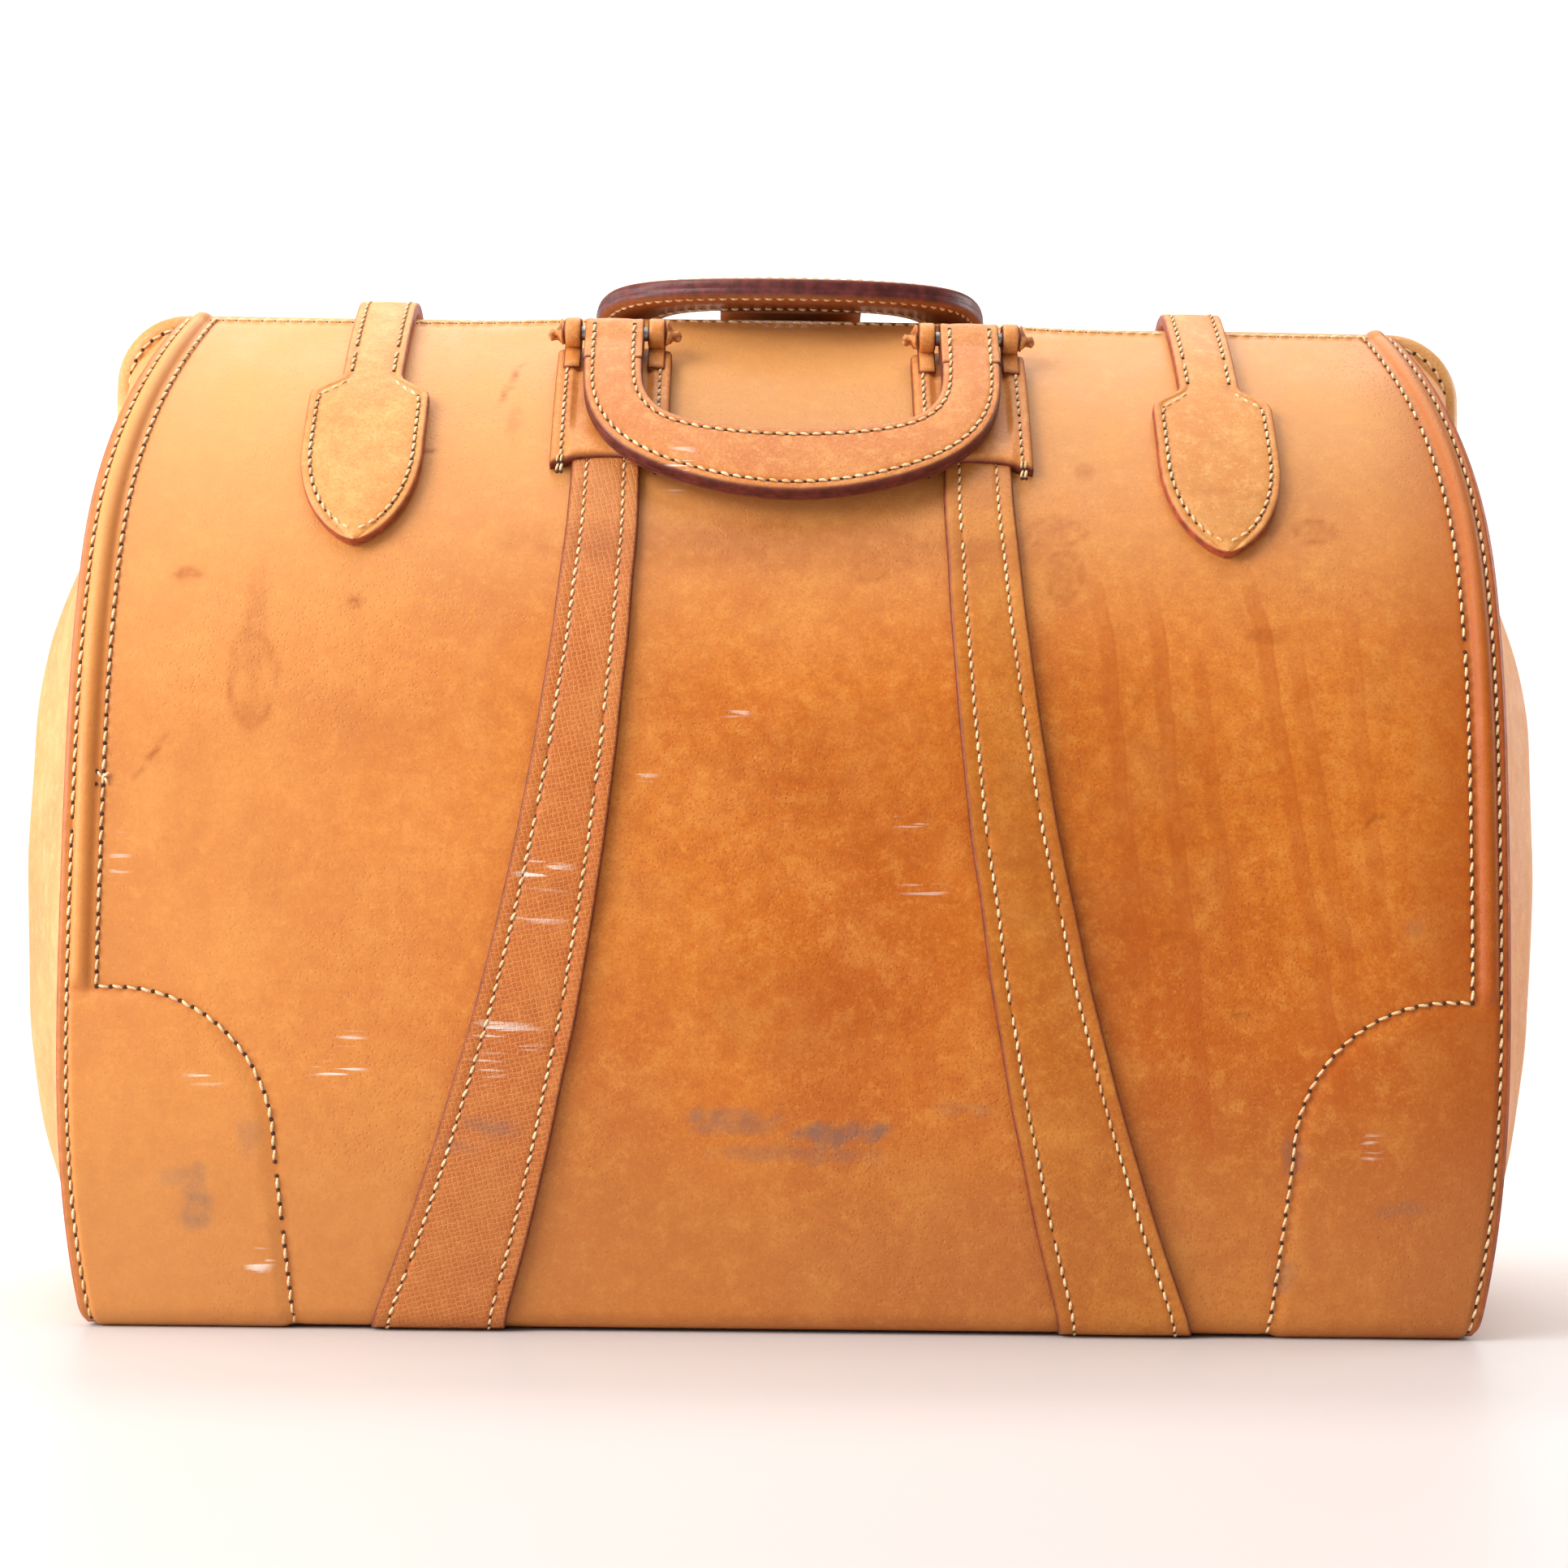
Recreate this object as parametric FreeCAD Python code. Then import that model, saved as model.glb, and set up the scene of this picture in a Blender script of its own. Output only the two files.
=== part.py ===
import FreeCAD, Part
import math
import os

# A leather doctor bag with a hinged mouth frame, in millimetres.
# X runs across the bag, the front is -Y and +Z is up.
# The origin is on the ground, under the middle of the bag.
# The back is the mirror of the front in the plane Y = 0, except for the closures.

V = FreeCAD.Vector


def tangent_centre(centre, radius, smaller, angle):
    """The (y, z) centre of a smaller arc that carries on smoothly from a larger one."""
    turn = math.radians(angle)
    step = radius - smaller
    return (centre[0] - step * math.cos(turn), centre[1] + step * math.sin(turn))


# Side profile of a panel: three arcs that join smoothly, each given by the angle
# of its outward normal above the horizontal. Centres are (y, z) of the front panel.
BELLY_RADIUS = 866.0
BELLY_CENTRE = (748.0, 98.5)
BELLY_START = -6.0
SHOULDER_RADIUS = 227.0
SHOULDER_START = 7.0
SHOULDER_END = 60.0
SHOULDER_CENTRE = tangent_centre(BELLY_CENTRE, BELLY_RADIUS, SHOULDER_RADIUS, SHOULDER_START)
CORNER_RADIUS = 8.0
CORNER_START = -90.0
CORNER_CENTRE = tangent_centre(BELLY_CENTRE, BELLY_RADIUS, CORNER_RADIUS, BELLY_START)
MOUTH_GAP = 10.8            # the panels stop this far from the middle plane

# Front view of a panel: half widths at a few heights
HALF_BOTTOM = 238.3
HALF_LOW = 246.0
HALF_WIDE = 248.0
HALF_SHOULDER = 244.6
HALF_TOP = 230.5
WIDE = 300.0
DEEP = 200.0

# Leather layers: offsets from the panel's outer face, outwards positive
PANEL = (-3.4, 0.0)
REINFORCEMENT = (-4.9, -3.5)
WELT = (-7.6, -5.0)
LINING = (-6.2, -5.1)
BAND = (0.1, 3.3)
CHAPE = (0.1, 3.7)
STRAP_END = (0.1, 4.6)
STRAP_LINING = (0.4, 2.5)
STRAP_LEATHER = (2.6, 4.8)
LOCK_TAB = (0.1, 3.2)
LOCK_PLATE = (3.3, 4.3)

# Edge strip and corner patch under the panel's leather
EDGE_STRIP = 14.0
WELT_WIDTH = 9.0
PATCH_HALF = 166.0
PATCH_HEIGHT = 116.0
PATCH_RADIUS = 48.0

# Bottom
BOTTOM_LENGTH = 237.0
BOTTOM_BULGE = 247.0
BOTTOM_HALF_DEPTH = 104.2
BOTTOM_LEATHER = 3.5
BOARD_GAP = 0.2
BOARD = 3.0

# Gussets
GUSSET_THICKNESS = 2.5
GUSSET_EDGE = 246.0
GUSSET_OFFSET = -8.1
GUSSET_BULGE = {10: 253, 32: 265, 58: 275, 100: 283, 160: 285, 215: 283, 240: 278, 264: 268}
WING = (238.8, 241.2)
WING_LOW = 268.0
WING_HIGH = 350.0
TUCK = (235.8, 238.2)
TUCK_HALF_DEPTH = 60.0
TUCK_LOW = 205.0
TUCK_HIGH = 262.0

# Mouth frame: a steel bow in a leather cover, one bow on each side
FRAME_HALF = 256.0
FRAME_TOP = 367.0
FRAME_CORNER = 27.0
FRAME_WIDTH = 14.0
FRAME_ROUND = 4.85
FRAME_AXIS = (-5.2, 362.0)
ARM_END = 300.0
STEEL_HALF = 252.5
STEEL_TOP = 364.2
STEEL_WIDTH = 9.2
STEEL = (-7.0, -3.4)
PIVOT_HEIGHT = 282.0
PIVOT_EYE = 6.5
FRONT_TONGUE = (247.0, 250.0)
BACK_TONGUE = (243.5, 246.5)
RIVET_SHANK = 2.5
RIVET_HEAD = 5.0
RIVET_HEAD_HEIGHT = 2.4

# Bands, handles and their chapes
BAND_TOP = 300.0
BAND_OUTER = (78.3, 97.0, 141.0)
BAND_INNER = (53.8, 65.0, 95.0)
HANDLE_X = 65.2
CHAPE_HALF = 21.0
CHAPE_LOW = 300.2
CHAPE_HIGH = 346.0
BAR_ANGLE = 49.0
BAR_OFFSET = 10.5
BAR_RADIUS = 2.6
BAR_HALF = 19.5
EAR = (12.2, 18.6)
EAR_RADIUS = 6.4
LOOP_HALF = 10.9
LOOP_RADIUS = 6.2
LOOP_BORE = 2.95
HANDLE_THICKNESS = 7.0
CORE_THICKNESS = 3.4
CORE_INSET = 5.5
BACK_HANDLE_OVER = (4.0, 372.3)
BACK_HANDLE_END = (-41.5, 374.0)
BACK_HANDLE_SLOPE = 0.975

# Closing straps
STRAP_X = 153.0
STRAP_NECK = 11.0
SPADE_HALF = 21.7
SPADE_TIP = 270.0
SPADE_TOP = 329.0
STRAP_HINGE_ANGLE = 50.0
STRAP_ARCH_START = 56.0
STRAP_ARCH_HEIGHT = 368.6
STUD_HEIGHT = 300.0
STUD_BASE = (0.05, 0.35)
STUD_POST = (0.3, 2.1)
CAP_STEM = (2.7, 4.9)
CAP_STEM_RADIUS = 4.0
CAP_HEAD = (4.85, 6.3)
CAP_HEAD_RADIUS = 7.0

# Lock on the back
TAB_HALF = 31.0
TAB_LOW = 296.0
LOCK_HEIGHT = 328.0
PLATE_HALF = 17.0
PLATE_RISE = 13.0
BUTTON_RADIUS = 4.0
BUTTON = (2.0, 7.4)


def radial(centre, radius, angle):
    """The point of a circle in the YZ plane whose outward normal rises by angle."""
    turn = math.radians(angle)
    return V(0, centre[0] - radius * math.cos(turn), centre[1] + radius * math.sin(turn))


def shoulder_point(offset, angle):
    return radial(SHOULDER_CENTRE, SHOULDER_RADIUS + offset, angle)


def arc_about(centre, radius, start, end):
    middle = (start + end) / 2
    return Part.Arc(*(radial(centre, radius, angle) for angle in (start, middle, end))).toShape()


def profile_arcs(offset, low, high):
    """The side profile, moved out by offset, from one normal angle to another."""
    stretches = (
        (CORNER_CENTRE, CORNER_RADIUS, CORNER_START, BELLY_START),
        (BELLY_CENTRE, BELLY_RADIUS, BELLY_START, SHOULDER_START),
        (SHOULDER_CENTRE, SHOULDER_RADIUS, SHOULDER_START, SHOULDER_END),
    )
    arcs = []
    for centre, radius, start, end in stretches:
        first = max(low, start)
        last = min(high, end)
        if first < last:
            arcs.append(arc_about(centre, radius + offset, first, last))
    return arcs


def band_face(inner, outer):
    """The face between two chains of edges that run the same way."""
    inner_ends = (inner[0].firstVertex(True).Point, inner[-1].lastVertex(True).Point)
    outer_ends = (outer[0].firstVertex(True).Point, outer[-1].lastVertex(True).Point)
    caps = [Part.makeLine(a, b) for a, b in zip(inner_ends, outer_ends)]
    return Part.Face(Part.Wire(Part.sortEdges(inner + outer + caps)[0]))


def across(face, low=-WIDE, high=WIDE):
    """Extrude a face of the YZ plane along X."""
    face.translate(V(low, 0, 0))
    return face.extrude(V(high - low, 0, 0))


def layer(offsets, low, high):
    """A leather layer that follows the front panel's side profile, as wide as the space."""
    return across(band_face(*(profile_arcs(offset, low, high) for offset in offsets)))


def chain(start, *steps):
    """Edges through (x, z) points; a step of two points is an arc through the first."""
    edges = []
    here = V(start[0], 0, start[1])
    for step in steps:
        if isinstance(step[0], tuple):
            via, end = (V(x, 0, z) for x, z in step)
            edges.append(Part.Arc(here, via, end).toShape())
        else:
            end = V(step[0], 0, step[1])
            edges.append(Part.makeLine(here, end))
        here = end
    return edges


def both_halves(edges):
    return edges + [edge.mirror(V(0, 0, 0), V(1, 0, 0)) for edge in edges]


def prism(edges, near=-DEEP, far=-MOUTH_GAP):
    """Extrude a closed outline of the XZ plane along Y."""
    face = Part.Face(Part.Wire(Part.sortEdges(edges)[0]))
    face.translate(V(0, near, 0))
    return face.extrude(V(0, far - near, 0))


def box(low, high):
    return Part.makeBox(*(high[i] - low[i] for i in range(3)), V(*low))


def rod(centre_y, centre_z, radius, low, high):
    """A cylinder along X."""
    return Part.makeCylinder(radius, high - low, V(low, centre_y, centre_z), V(1, 0, 0))


def to_back(shape):
    return shape.mirror(V(0, 0, 0), V(0, 1, 0))


def mirrored(shape):
    """The same piece at the bag's other end."""
    return shape.mirror(V(0, 0, 0), V(1, 0, 0))


def moved(shape, x):
    shape = shape.copy()
    shape.translate(V(x, 0, 0))
    return shape


def export(shape, node):
    shape = shape.removeSplitter()
    shape.exportStep("parts/" + node + ".step")


def half_depth(height, offset):
    """How far the side profile stands from the middle plane at a height."""
    shoulder_low = SHOULDER_CENTRE[1] + SHOULDER_RADIUS * math.sin(math.radians(SHOULDER_START))
    if height < shoulder_low:
        centre, radius = BELLY_CENTRE, BELLY_RADIUS + offset
    else:
        centre, radius = SHOULDER_CENTRE, SHOULDER_RADIUS + offset
    return math.sqrt(radius ** 2 - (height - centre[1]) ** 2) - centre[0]


# Panels and what is sewn to them

def panel_outline(inset):
    """The panel's outline in the front view, drawn in at the sides by inset."""
    right = chain(
        (0, -5),
        (HALF_BOTTOM - inset, -5),
        ((HALF_LOW - inset, 54), (HALF_WIDE - inset, 130)),
        (HALF_WIDE - inset, 262),
        ((HALF_SHOULDER - inset, 312), (HALF_TOP - inset, 366)),
        (HALF_TOP - 2 - inset, 375),
        (0, 375),
    )
    return prism(both_halves(right))


def right_half(shape):
    return shape.common(box((0, -DEEP, -10), (WIDE, DEEP, 400)))


def reinforcement():
    """The edge strip and corner patch that stiffen the panel's right side."""
    strip = panel_outline(0).cut(panel_outline(EDGE_STRIP))
    bend = PATCH_RADIUS * (1 - math.cos(math.radians(45)))
    patch = prism(chain(
        (PATCH_HALF, -5),
        (PATCH_HALF, PATCH_HEIGHT - PATCH_RADIUS),
        ((PATCH_HALF + bend, PATCH_HEIGHT - bend), (PATCH_HALF + PATCH_RADIUS, PATCH_HEIGHT)),
        (WIDE, PATCH_HEIGHT),
        (WIDE, -5),
        (PATCH_HALF, -5),
    ))
    region = right_half(strip).fuse(patch.common(panel_outline(0)))
    return layer(REINFORCEMENT, BELLY_START, SHOULDER_END).common(region)


def welt():
    """The folded seam strip between the panel's right edge and the gusset."""
    region = right_half(panel_outline(0).cut(panel_outline(WELT_WIDTH)))
    return layer(WELT, BELLY_START + 0.5, SHOULDER_END).common(region)


def lining():
    return layer(LINING, BELLY_START + 0.5, SHOULDER_END).common(panel_outline(WELT_WIDTH + 0.3))


def handle_band():
    """The leather strip that runs from the right chape down to the bottom edge."""
    outline = chain(
        (BAND_INNER[0], BAND_TOP),
        ((BAND_INNER[1], BAND_TOP / 2), (BAND_INNER[2], 0)),
        (BAND_INNER[2] + 1, -5),
        (BAND_OUTER[2] + 1.5, -5),
        (BAND_OUTER[2], 0),
        ((BAND_OUTER[1], BAND_TOP / 2), (BAND_OUTER[0], BAND_TOP)),
        (BAND_INNER[0], BAND_TOP),
    )
    return layer(BAND, -40, SHOULDER_END).common(prism(outline))


def bar_centre():
    return shoulder_point(BAR_OFFSET, BAR_ANGLE)


def chape():
    """The sewn patch that holds a handle's bar between two rolled ears."""
    half = chain(
        (0, CHAPE_LOW + 2.5),
        ((CHAPE_HALF * 0.55, CHAPE_LOW + 1.8), (CHAPE_HALF, CHAPE_LOW)),
        (CHAPE_HALF, CHAPE_HIGH - 8),
        (CHAPE_HALF - 2, CHAPE_HIGH),
        (0, CHAPE_HIGH),
    )
    patch = layer(CHAPE, 20, SHOULDER_END).common(moved(prism(both_halves(half)), HANDLE_X))
    spread = math.degrees(EAR_RADIUS / (SHOULDER_RADIUS + BAR_OFFSET)) * 0.8
    corners = [
        shoulder_point(CHAPE[1] - 1.0, BAR_ANGLE - spread * 2),
        shoulder_point(BAR_OFFSET, BAR_ANGLE - spread),
        shoulder_point(BAR_OFFSET, BAR_ANGLE + spread),
        shoulder_point(CHAPE[0], BAR_ANGLE),
    ]
    centre = bar_centre()
    shape = patch
    for low, high in (EAR, (-EAR[1], -EAR[0])):
        web = across(Part.Face(Part.makePolygon(corners + corners[:1])), low, high)
        ear = web.fuse(rod(centre.y, centre.z, EAR_RADIUS, low, high))
        shape = shape.fuse(moved(ear, HANDLE_X))
    return shape.cut(rod(centre.y, centre.z, BAR_RADIUS + 0.05, 0, WIDE))


def handle_bar():
    centre = bar_centre()
    return rod(centre.y, centre.z, BAR_RADIUS, HANDLE_X - BAR_HALF, HANDLE_X + BAR_HALF)


def spade_outline():
    half = chain(
        (0, SPADE_TIP),
        ((SPADE_HALF * 0.8, SPADE_TIP + 12.5), (SPADE_HALF, SPADE_TIP + 36)),
        (SPADE_HALF, SPADE_TOP),
        (STRAP_NECK, SPADE_TOP + 4),
        (STRAP_NECK, 380),
        (0, 380),
    )
    return moved(prism(both_halves(half)), STRAP_X)


def strap_end():
    """The spade that is sewn to the front, up to where the strap bends."""
    return layer(STRAP_END, 15, STRAP_HINGE_ANGLE - 0.15).common(spade_outline())


def gusset_wing():
    """The gusset's upper part, between the panel's edge and the frame's arm."""
    region = box((WING[0], -DEEP, WING_LOW), (WING[1], -MOUTH_GAP - 0.4, WING_HIGH))
    return layer((-90, GUSSET_OFFSET), 24, SHOULDER_END).common(region)


# Bottom and gussets

def bottom_plate(half_length, bulge, half_depth_y, low, high):
    edges = chain(
        (0, -half_depth_y),
        (half_length, -half_depth_y),
        ((bulge, 0), (half_length, half_depth_y)),
        (0, half_depth_y),
    )
    plate = prism(both_halves(edges), -high, -low)
    plate.rotate(V(0, 0, 0), V(1, 0, 0), -90)
    return plate


def gusset_section(height, bulge):
    depth = half_depth(height, GUSSET_OFFSET)
    outer = [V(GUSSET_EDGE, -depth, height), V(bulge, 0, height), V(GUSSET_EDGE, depth, height)]
    inner = [point - V(GUSSET_THICKNESS, 0, 0) for point in outer]
    edges = [Part.Arc(*points).toShape() for points in (outer, inner)]
    edges += [Part.makeLine(outer[i], inner[i]) for i in (0, 2)]
    return Part.Wire(Part.sortEdges(edges)[0])


def gusset():
    sections = [gusset_section(height, bulge) for height, bulge in GUSSET_BULGE.items()]
    return Part.makeLoft(sections, True, True)


def gusset_tuck():
    """The fold of the gusset that comes up as the mouth opens."""
    return box((TUCK[0], -TUCK_HALF_DEPTH, TUCK_LOW), (TUCK[1], TUCK_HALF_DEPTH, TUCK_HIGH))


# Mouth frame

def bow(half, top, corner, width, low, near, far):
    """A U-shaped bow, open downwards, between two planes of constant y."""
    inner_half = half - width
    inner_top = top - width
    inner_corner = corner - width
    cut = 1 - math.cos(math.radians(45))
    right = chain(
        (0, top),
        (half - corner, top),
        ((half - corner * cut, top - corner * cut), (half, top - corner)),
        (half, low),
        (inner_half, low),
        (inner_half, inner_top - inner_corner),
        ((inner_half - inner_corner * cut, inner_top - inner_corner * cut),
         (inner_half - inner_corner, inner_top)),
        (0, inner_top),
    )
    return prism(both_halves(right), near, far)


def steel_bow():
    corner = FRAME_CORNER - (FRAME_HALF - STEEL_HALF)
    return bow(STEEL_HALF, STEEL_TOP, corner, STEEL_WIDTH, ARM_END - 2, *STEEL)


def frame_cover():
    y, z = FRAME_AXIS
    near, far = y - FRAME_ROUND, y + FRAME_ROUND
    shape = bow(FRAME_HALF, FRAME_TOP, FRAME_CORNER, FRAME_WIDTH, ARM_END, near, far)
    below = box((-WIDE, near, PIVOT_HEIGHT), (WIDE, far, z))
    rounded = below.fuse(rod(y, z, FRAME_ROUND, -WIDE, WIDE))
    return shape.common(rounded).cut(steel_bow())


def tongue(span):
    """The end of a bow's arm, which reaches the pivot on the middle plane."""
    corners = [
        V(0, STEEL[0], ARM_END),
        V(0, STEEL[1], ARM_END),
        V(0, PIVOT_EYE, PIVOT_HEIGHT),
        V(0, -PIVOT_EYE, PIVOT_HEIGHT),
    ]
    arm = across(Part.Face(Part.makePolygon(corners + corners[:1])), *span)
    return arm.fuse(rod(0, PIVOT_HEIGHT, PIVOT_EYE, *span))


def steel_frame(span, bore):
    right = tongue(span).cut(rod(0, PIVOT_HEIGHT, bore, *span))
    return steel_bow().fuse(right).fuse(mirrored(right))


def rivet():
    low, high = FRONT_TONGUE
    place = V(high, 0, PIVOT_HEIGHT)
    head = Part.makeCone(RIVET_HEAD, RIVET_HEAD / 2, RIVET_HEAD_HEIGHT, place, V(1, 0, 0))
    return head.fuse(rod(0, PIVOT_HEIGHT, RIVET_SHANK, low, high))


# Handles

def handle_outline(place, inset):
    """A D-shaped handle; place turns a distance from the bar into the outline's height."""
    def point(x, distance):
        return (x, place(distance))

    arm_outer = HANDLE_X + LOOP_HALF - 0.4 - inset
    arm_inner = HANDLE_X - LOOP_HALF + inset
    outer = chain(
        point(0, 85.8 - inset),
        (point(24, 83.5 - inset), point(46 - inset * 0.4, 75 - inset)),
        (point(67.5 - inset * 0.8, 59.4 - inset * 0.5), point(arm_outer, 36)),
        point(arm_outer, inset * 1.5),
        point(arm_inner, inset * 1.5),
        point(arm_inner, 34),
        (point(50.5 + inset * 0.7, 46 + inset * 0.4), point(40, 51.4 + inset)),
        (point(20, 55.5 + inset), point(0, 56.7 + inset)),
    )
    return both_halves(outer)


def front_handle_side(thickness):
    """The hanging handle's side profile, a band that follows the shoulder."""
    radius = SHOULDER_RADIUS + BAR_OFFSET
    chains = [[arc_about(SHOULDER_CENTRE, radius + side * thickness / 2, 25, BAR_ANGLE)] for side in (-1, 1)]
    return across(band_face(*chains))


def front_height(distance):
    radius = SHOULDER_RADIUS + BAR_OFFSET
    angle = math.radians(BAR_ANGLE) - distance / radius
    return SHOULDER_CENTRE[1] + radius * math.sin(angle)


def back_handle_side(thickness):
    """The folded handle's side profile: from its bar at the back, over the frame."""
    bar = bar_centre()
    middle = [V(0, -bar.y, bar.z), V(0, *BACK_HANDLE_OVER), V(0, *BACK_HANDLE_END)]
    circle = Part.Arc(*middle).toShape().Curve
    chains = []
    for side in (-1, 1):
        points = []
        for point in middle:
            out = point - circle.Center
            points.append(circle.Center + out * (1 + side * thickness / 2 / circle.Radius))
        chains.append([Part.Arc(*points).toShape()])
    return across(band_face(*chains))


def back_reach(distance):
    """The y that the folded handle reaches at a distance from its bar."""
    return -bar_centre().y - BACK_HANDLE_SLOPE * distance


def loops(bar_y):
    shape = None
    bar = bar_centre()
    for x in (-HANDLE_X, HANDLE_X):
        loop = rod(bar_y, bar.z, LOOP_RADIUS, x - LOOP_HALF, x + LOOP_HALF)
        shape = loop if shape is None else shape.fuse(loop)
    return shape


def front_handle(thickness, inset):
    return front_handle_side(thickness).common(prism(handle_outline(front_height, inset)))


def back_handle(thickness, inset):
    outline = prism(handle_outline(back_reach, inset), -500, 0)
    outline.rotate(V(0, 0, 0), V(1, 0, 0), -90)
    return back_handle_side(thickness).common(outline)


def handle_leather(make, bar_y):
    bar = bar_centre()
    body = make(HANDLE_THICKNESS, 0).fuse(loops(bar_y))
    body = body.cut(rod(bar_y, bar.z, LOOP_BORE, -WIDE, WIDE))
    return body.cut(make(CORE_THICKNESS, CORE_INSET))


# Closing straps

def strap(offsets):
    """A strap from its bend on the front, over the frame, to its spade on the back."""
    outline = spade_outline()
    neck = layer(offsets, STRAP_HINGE_ANGLE + 0.15, STRAP_ARCH_START)
    neck = neck.common(box((STRAP_X - STRAP_NECK, -DEEP, 0), (STRAP_X + STRAP_NECK, 0, 400)))
    far = to_back(layer(offsets, 15, STRAP_ARCH_START).common(outline))
    chains = []
    for offset in offsets:
        start = shoulder_point(offset, STRAP_ARCH_START)
        top = V(0, 0, STRAP_ARCH_HEIGHT + offset)
        chains.append([Part.Arc(start, top, V(0, -start.y, start.z)).toShape()])
    arch = across(band_face(*chains), STRAP_X - STRAP_NECK, STRAP_X + STRAP_NECK)
    return neck.fuse(arch).fuse(far)


def on_back(height, inner, outer, radius, x):
    """A disc along the back shoulder's normal at a height, between two offsets."""
    angle = math.degrees(math.asin((height - SHOULDER_CENTRE[1]) / SHOULDER_RADIUS))
    low = shoulder_point(inner, angle)
    high = shoulder_point(outer, angle)
    disc = Part.makeCylinder(radius, outer - inner, low + V(x, 0, 0), high - low)
    return to_back(disc)


def strap_stud(x):
    """The press stud's fixed half on the back panel."""
    return on_back(STUD_HEIGHT, *STUD_BASE, 5.0, x).fuse(on_back(STUD_HEIGHT, *STUD_POST, 2.8, x))


def strap_cap(x):
    """The press stud's sprung half: a head outside the strap and a stem through it."""
    head = on_back(STUD_HEIGHT, *CAP_HEAD, CAP_HEAD_RADIUS, x)
    return head.fuse(on_back(STUD_HEIGHT, *CAP_STEM, CAP_STEM_RADIUS, x))


def lock_tab():
    half = chain((0, TAB_LOW), (TAB_HALF - 9, TAB_LOW), ((TAB_HALF - 2.6, TAB_LOW + 2.6),
                 (TAB_HALF, TAB_LOW + 9)), (TAB_HALF, 380), (0, 380))
    tab = layer(LOCK_TAB, 20, SHOULDER_END).common(prism(both_halves(half), -DEEP, -MOUTH_GAP - 0.3))
    return to_back(tab).cut(on_back(LOCK_HEIGHT, -1, 6, BUTTON_RADIUS + 0.3, 0))


def lock_plate():
    half = chain((0, LOCK_HEIGHT - PLATE_RISE), (PLATE_HALF, LOCK_HEIGHT - PLATE_RISE + 3),
                 (PLATE_HALF, LOCK_HEIGHT + PLATE_RISE - 3), (0, LOCK_HEIGHT + PLATE_RISE))
    plate = layer(LOCK_PLATE, 20, SHOULDER_END).common(prism(both_halves(half)))
    return to_back(plate).cut(on_back(LOCK_HEIGHT, -1, 6, BUTTON_RADIUS + 0.3, 0))


os.makedirs("parts", exist_ok=True)

export(bottom_plate(BOTTOM_LENGTH, BOTTOM_BULGE, BOTTOM_HALF_DEPTH, 0, BOTTOM_LEATHER), "bottom_leather")
board_low = BOTTOM_LEATHER + BOARD_GAP
export(bottom_plate(BOTTOM_LENGTH - 6, BOTTOM_BULGE - 6, BOTTOM_HALF_DEPTH - 4, board_low, board_low + BOARD),
       "bottom_board")

panel = layer(PANEL, CORNER_START, SHOULDER_END).common(panel_outline(0))
inside = lining()
for side, turn in (("front", lambda shape: shape), ("back", to_back)):
    export(turn(panel), side + "_panel")
    export(turn(inside), side + "_lining")

pairs = {
    "reinforcement": reinforcement(),
    "welt": welt(),
    "band": handle_band(),
    "chape": chape(),
    "handle_bar": handle_bar(),
    "gusset_wing": gusset_wing(),
}
for name, shape in pairs.items():
    for side, turn in (("front", lambda shape: shape), ("back", to_back)):
        export(turn(shape), side + "_" + name + "_right")
        export(turn(mirrored(shape)), side + "_" + name + "_left")

stud_hole = on_back(STUD_HEIGHT, -1, 2.6, 6.0, STRAP_X)
cap_hole = on_back(STUD_HEIGHT, 2.5, 6, CAP_STEM_RADIUS + 0.05, STRAP_X)
ends = {
    "gusset": gusset(),
    "gusset_tuck": gusset_tuck(),
    "strap_end": strap_end(),
    "strap_leather": strap(STRAP_LEATHER).cut(cap_hole),
    "strap_lining": strap(STRAP_LINING).cut(stud_hole),
    "strap_cap": strap_cap(STRAP_X),
    "strap_stud": strap_stud(STRAP_X),
}
for name, shape in ends.items():
    export(shape, name + "_right")
    export(mirrored(shape), name + "_left")

export(steel_frame(FRONT_TONGUE, RIVET_SHANK), "front_frame_steel")
export(to_back(steel_frame(BACK_TONGUE, RIVET_SHANK)), "back_frame_steel")
export(frame_cover(), "front_frame_cover")
export(to_back(frame_cover()), "back_frame_cover")
export(Part.makeCompound([rivet(), mirrored(rivet())]), "hinge_rivets")

export(handle_leather(front_handle, bar_centre().y), "front_handle_leather")
export(front_handle(CORE_THICKNESS, CORE_INSET), "front_handle_core")
export(handle_leather(back_handle, -bar_centre().y), "back_handle_leather")
export(back_handle(CORE_THICKNESS, CORE_INSET), "back_handle_core")

export(lock_tab(), "lock_tab")
export(lock_plate(), "lock_plate")
export(on_back(LOCK_HEIGHT, *BUTTON, BUTTON_RADIUS, 0), "lock_button")
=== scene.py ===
import math
import random
from functools import partial

import bmesh
import bpy
import numpy as np
from mathutils import Matrix, Vector, noise


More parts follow.
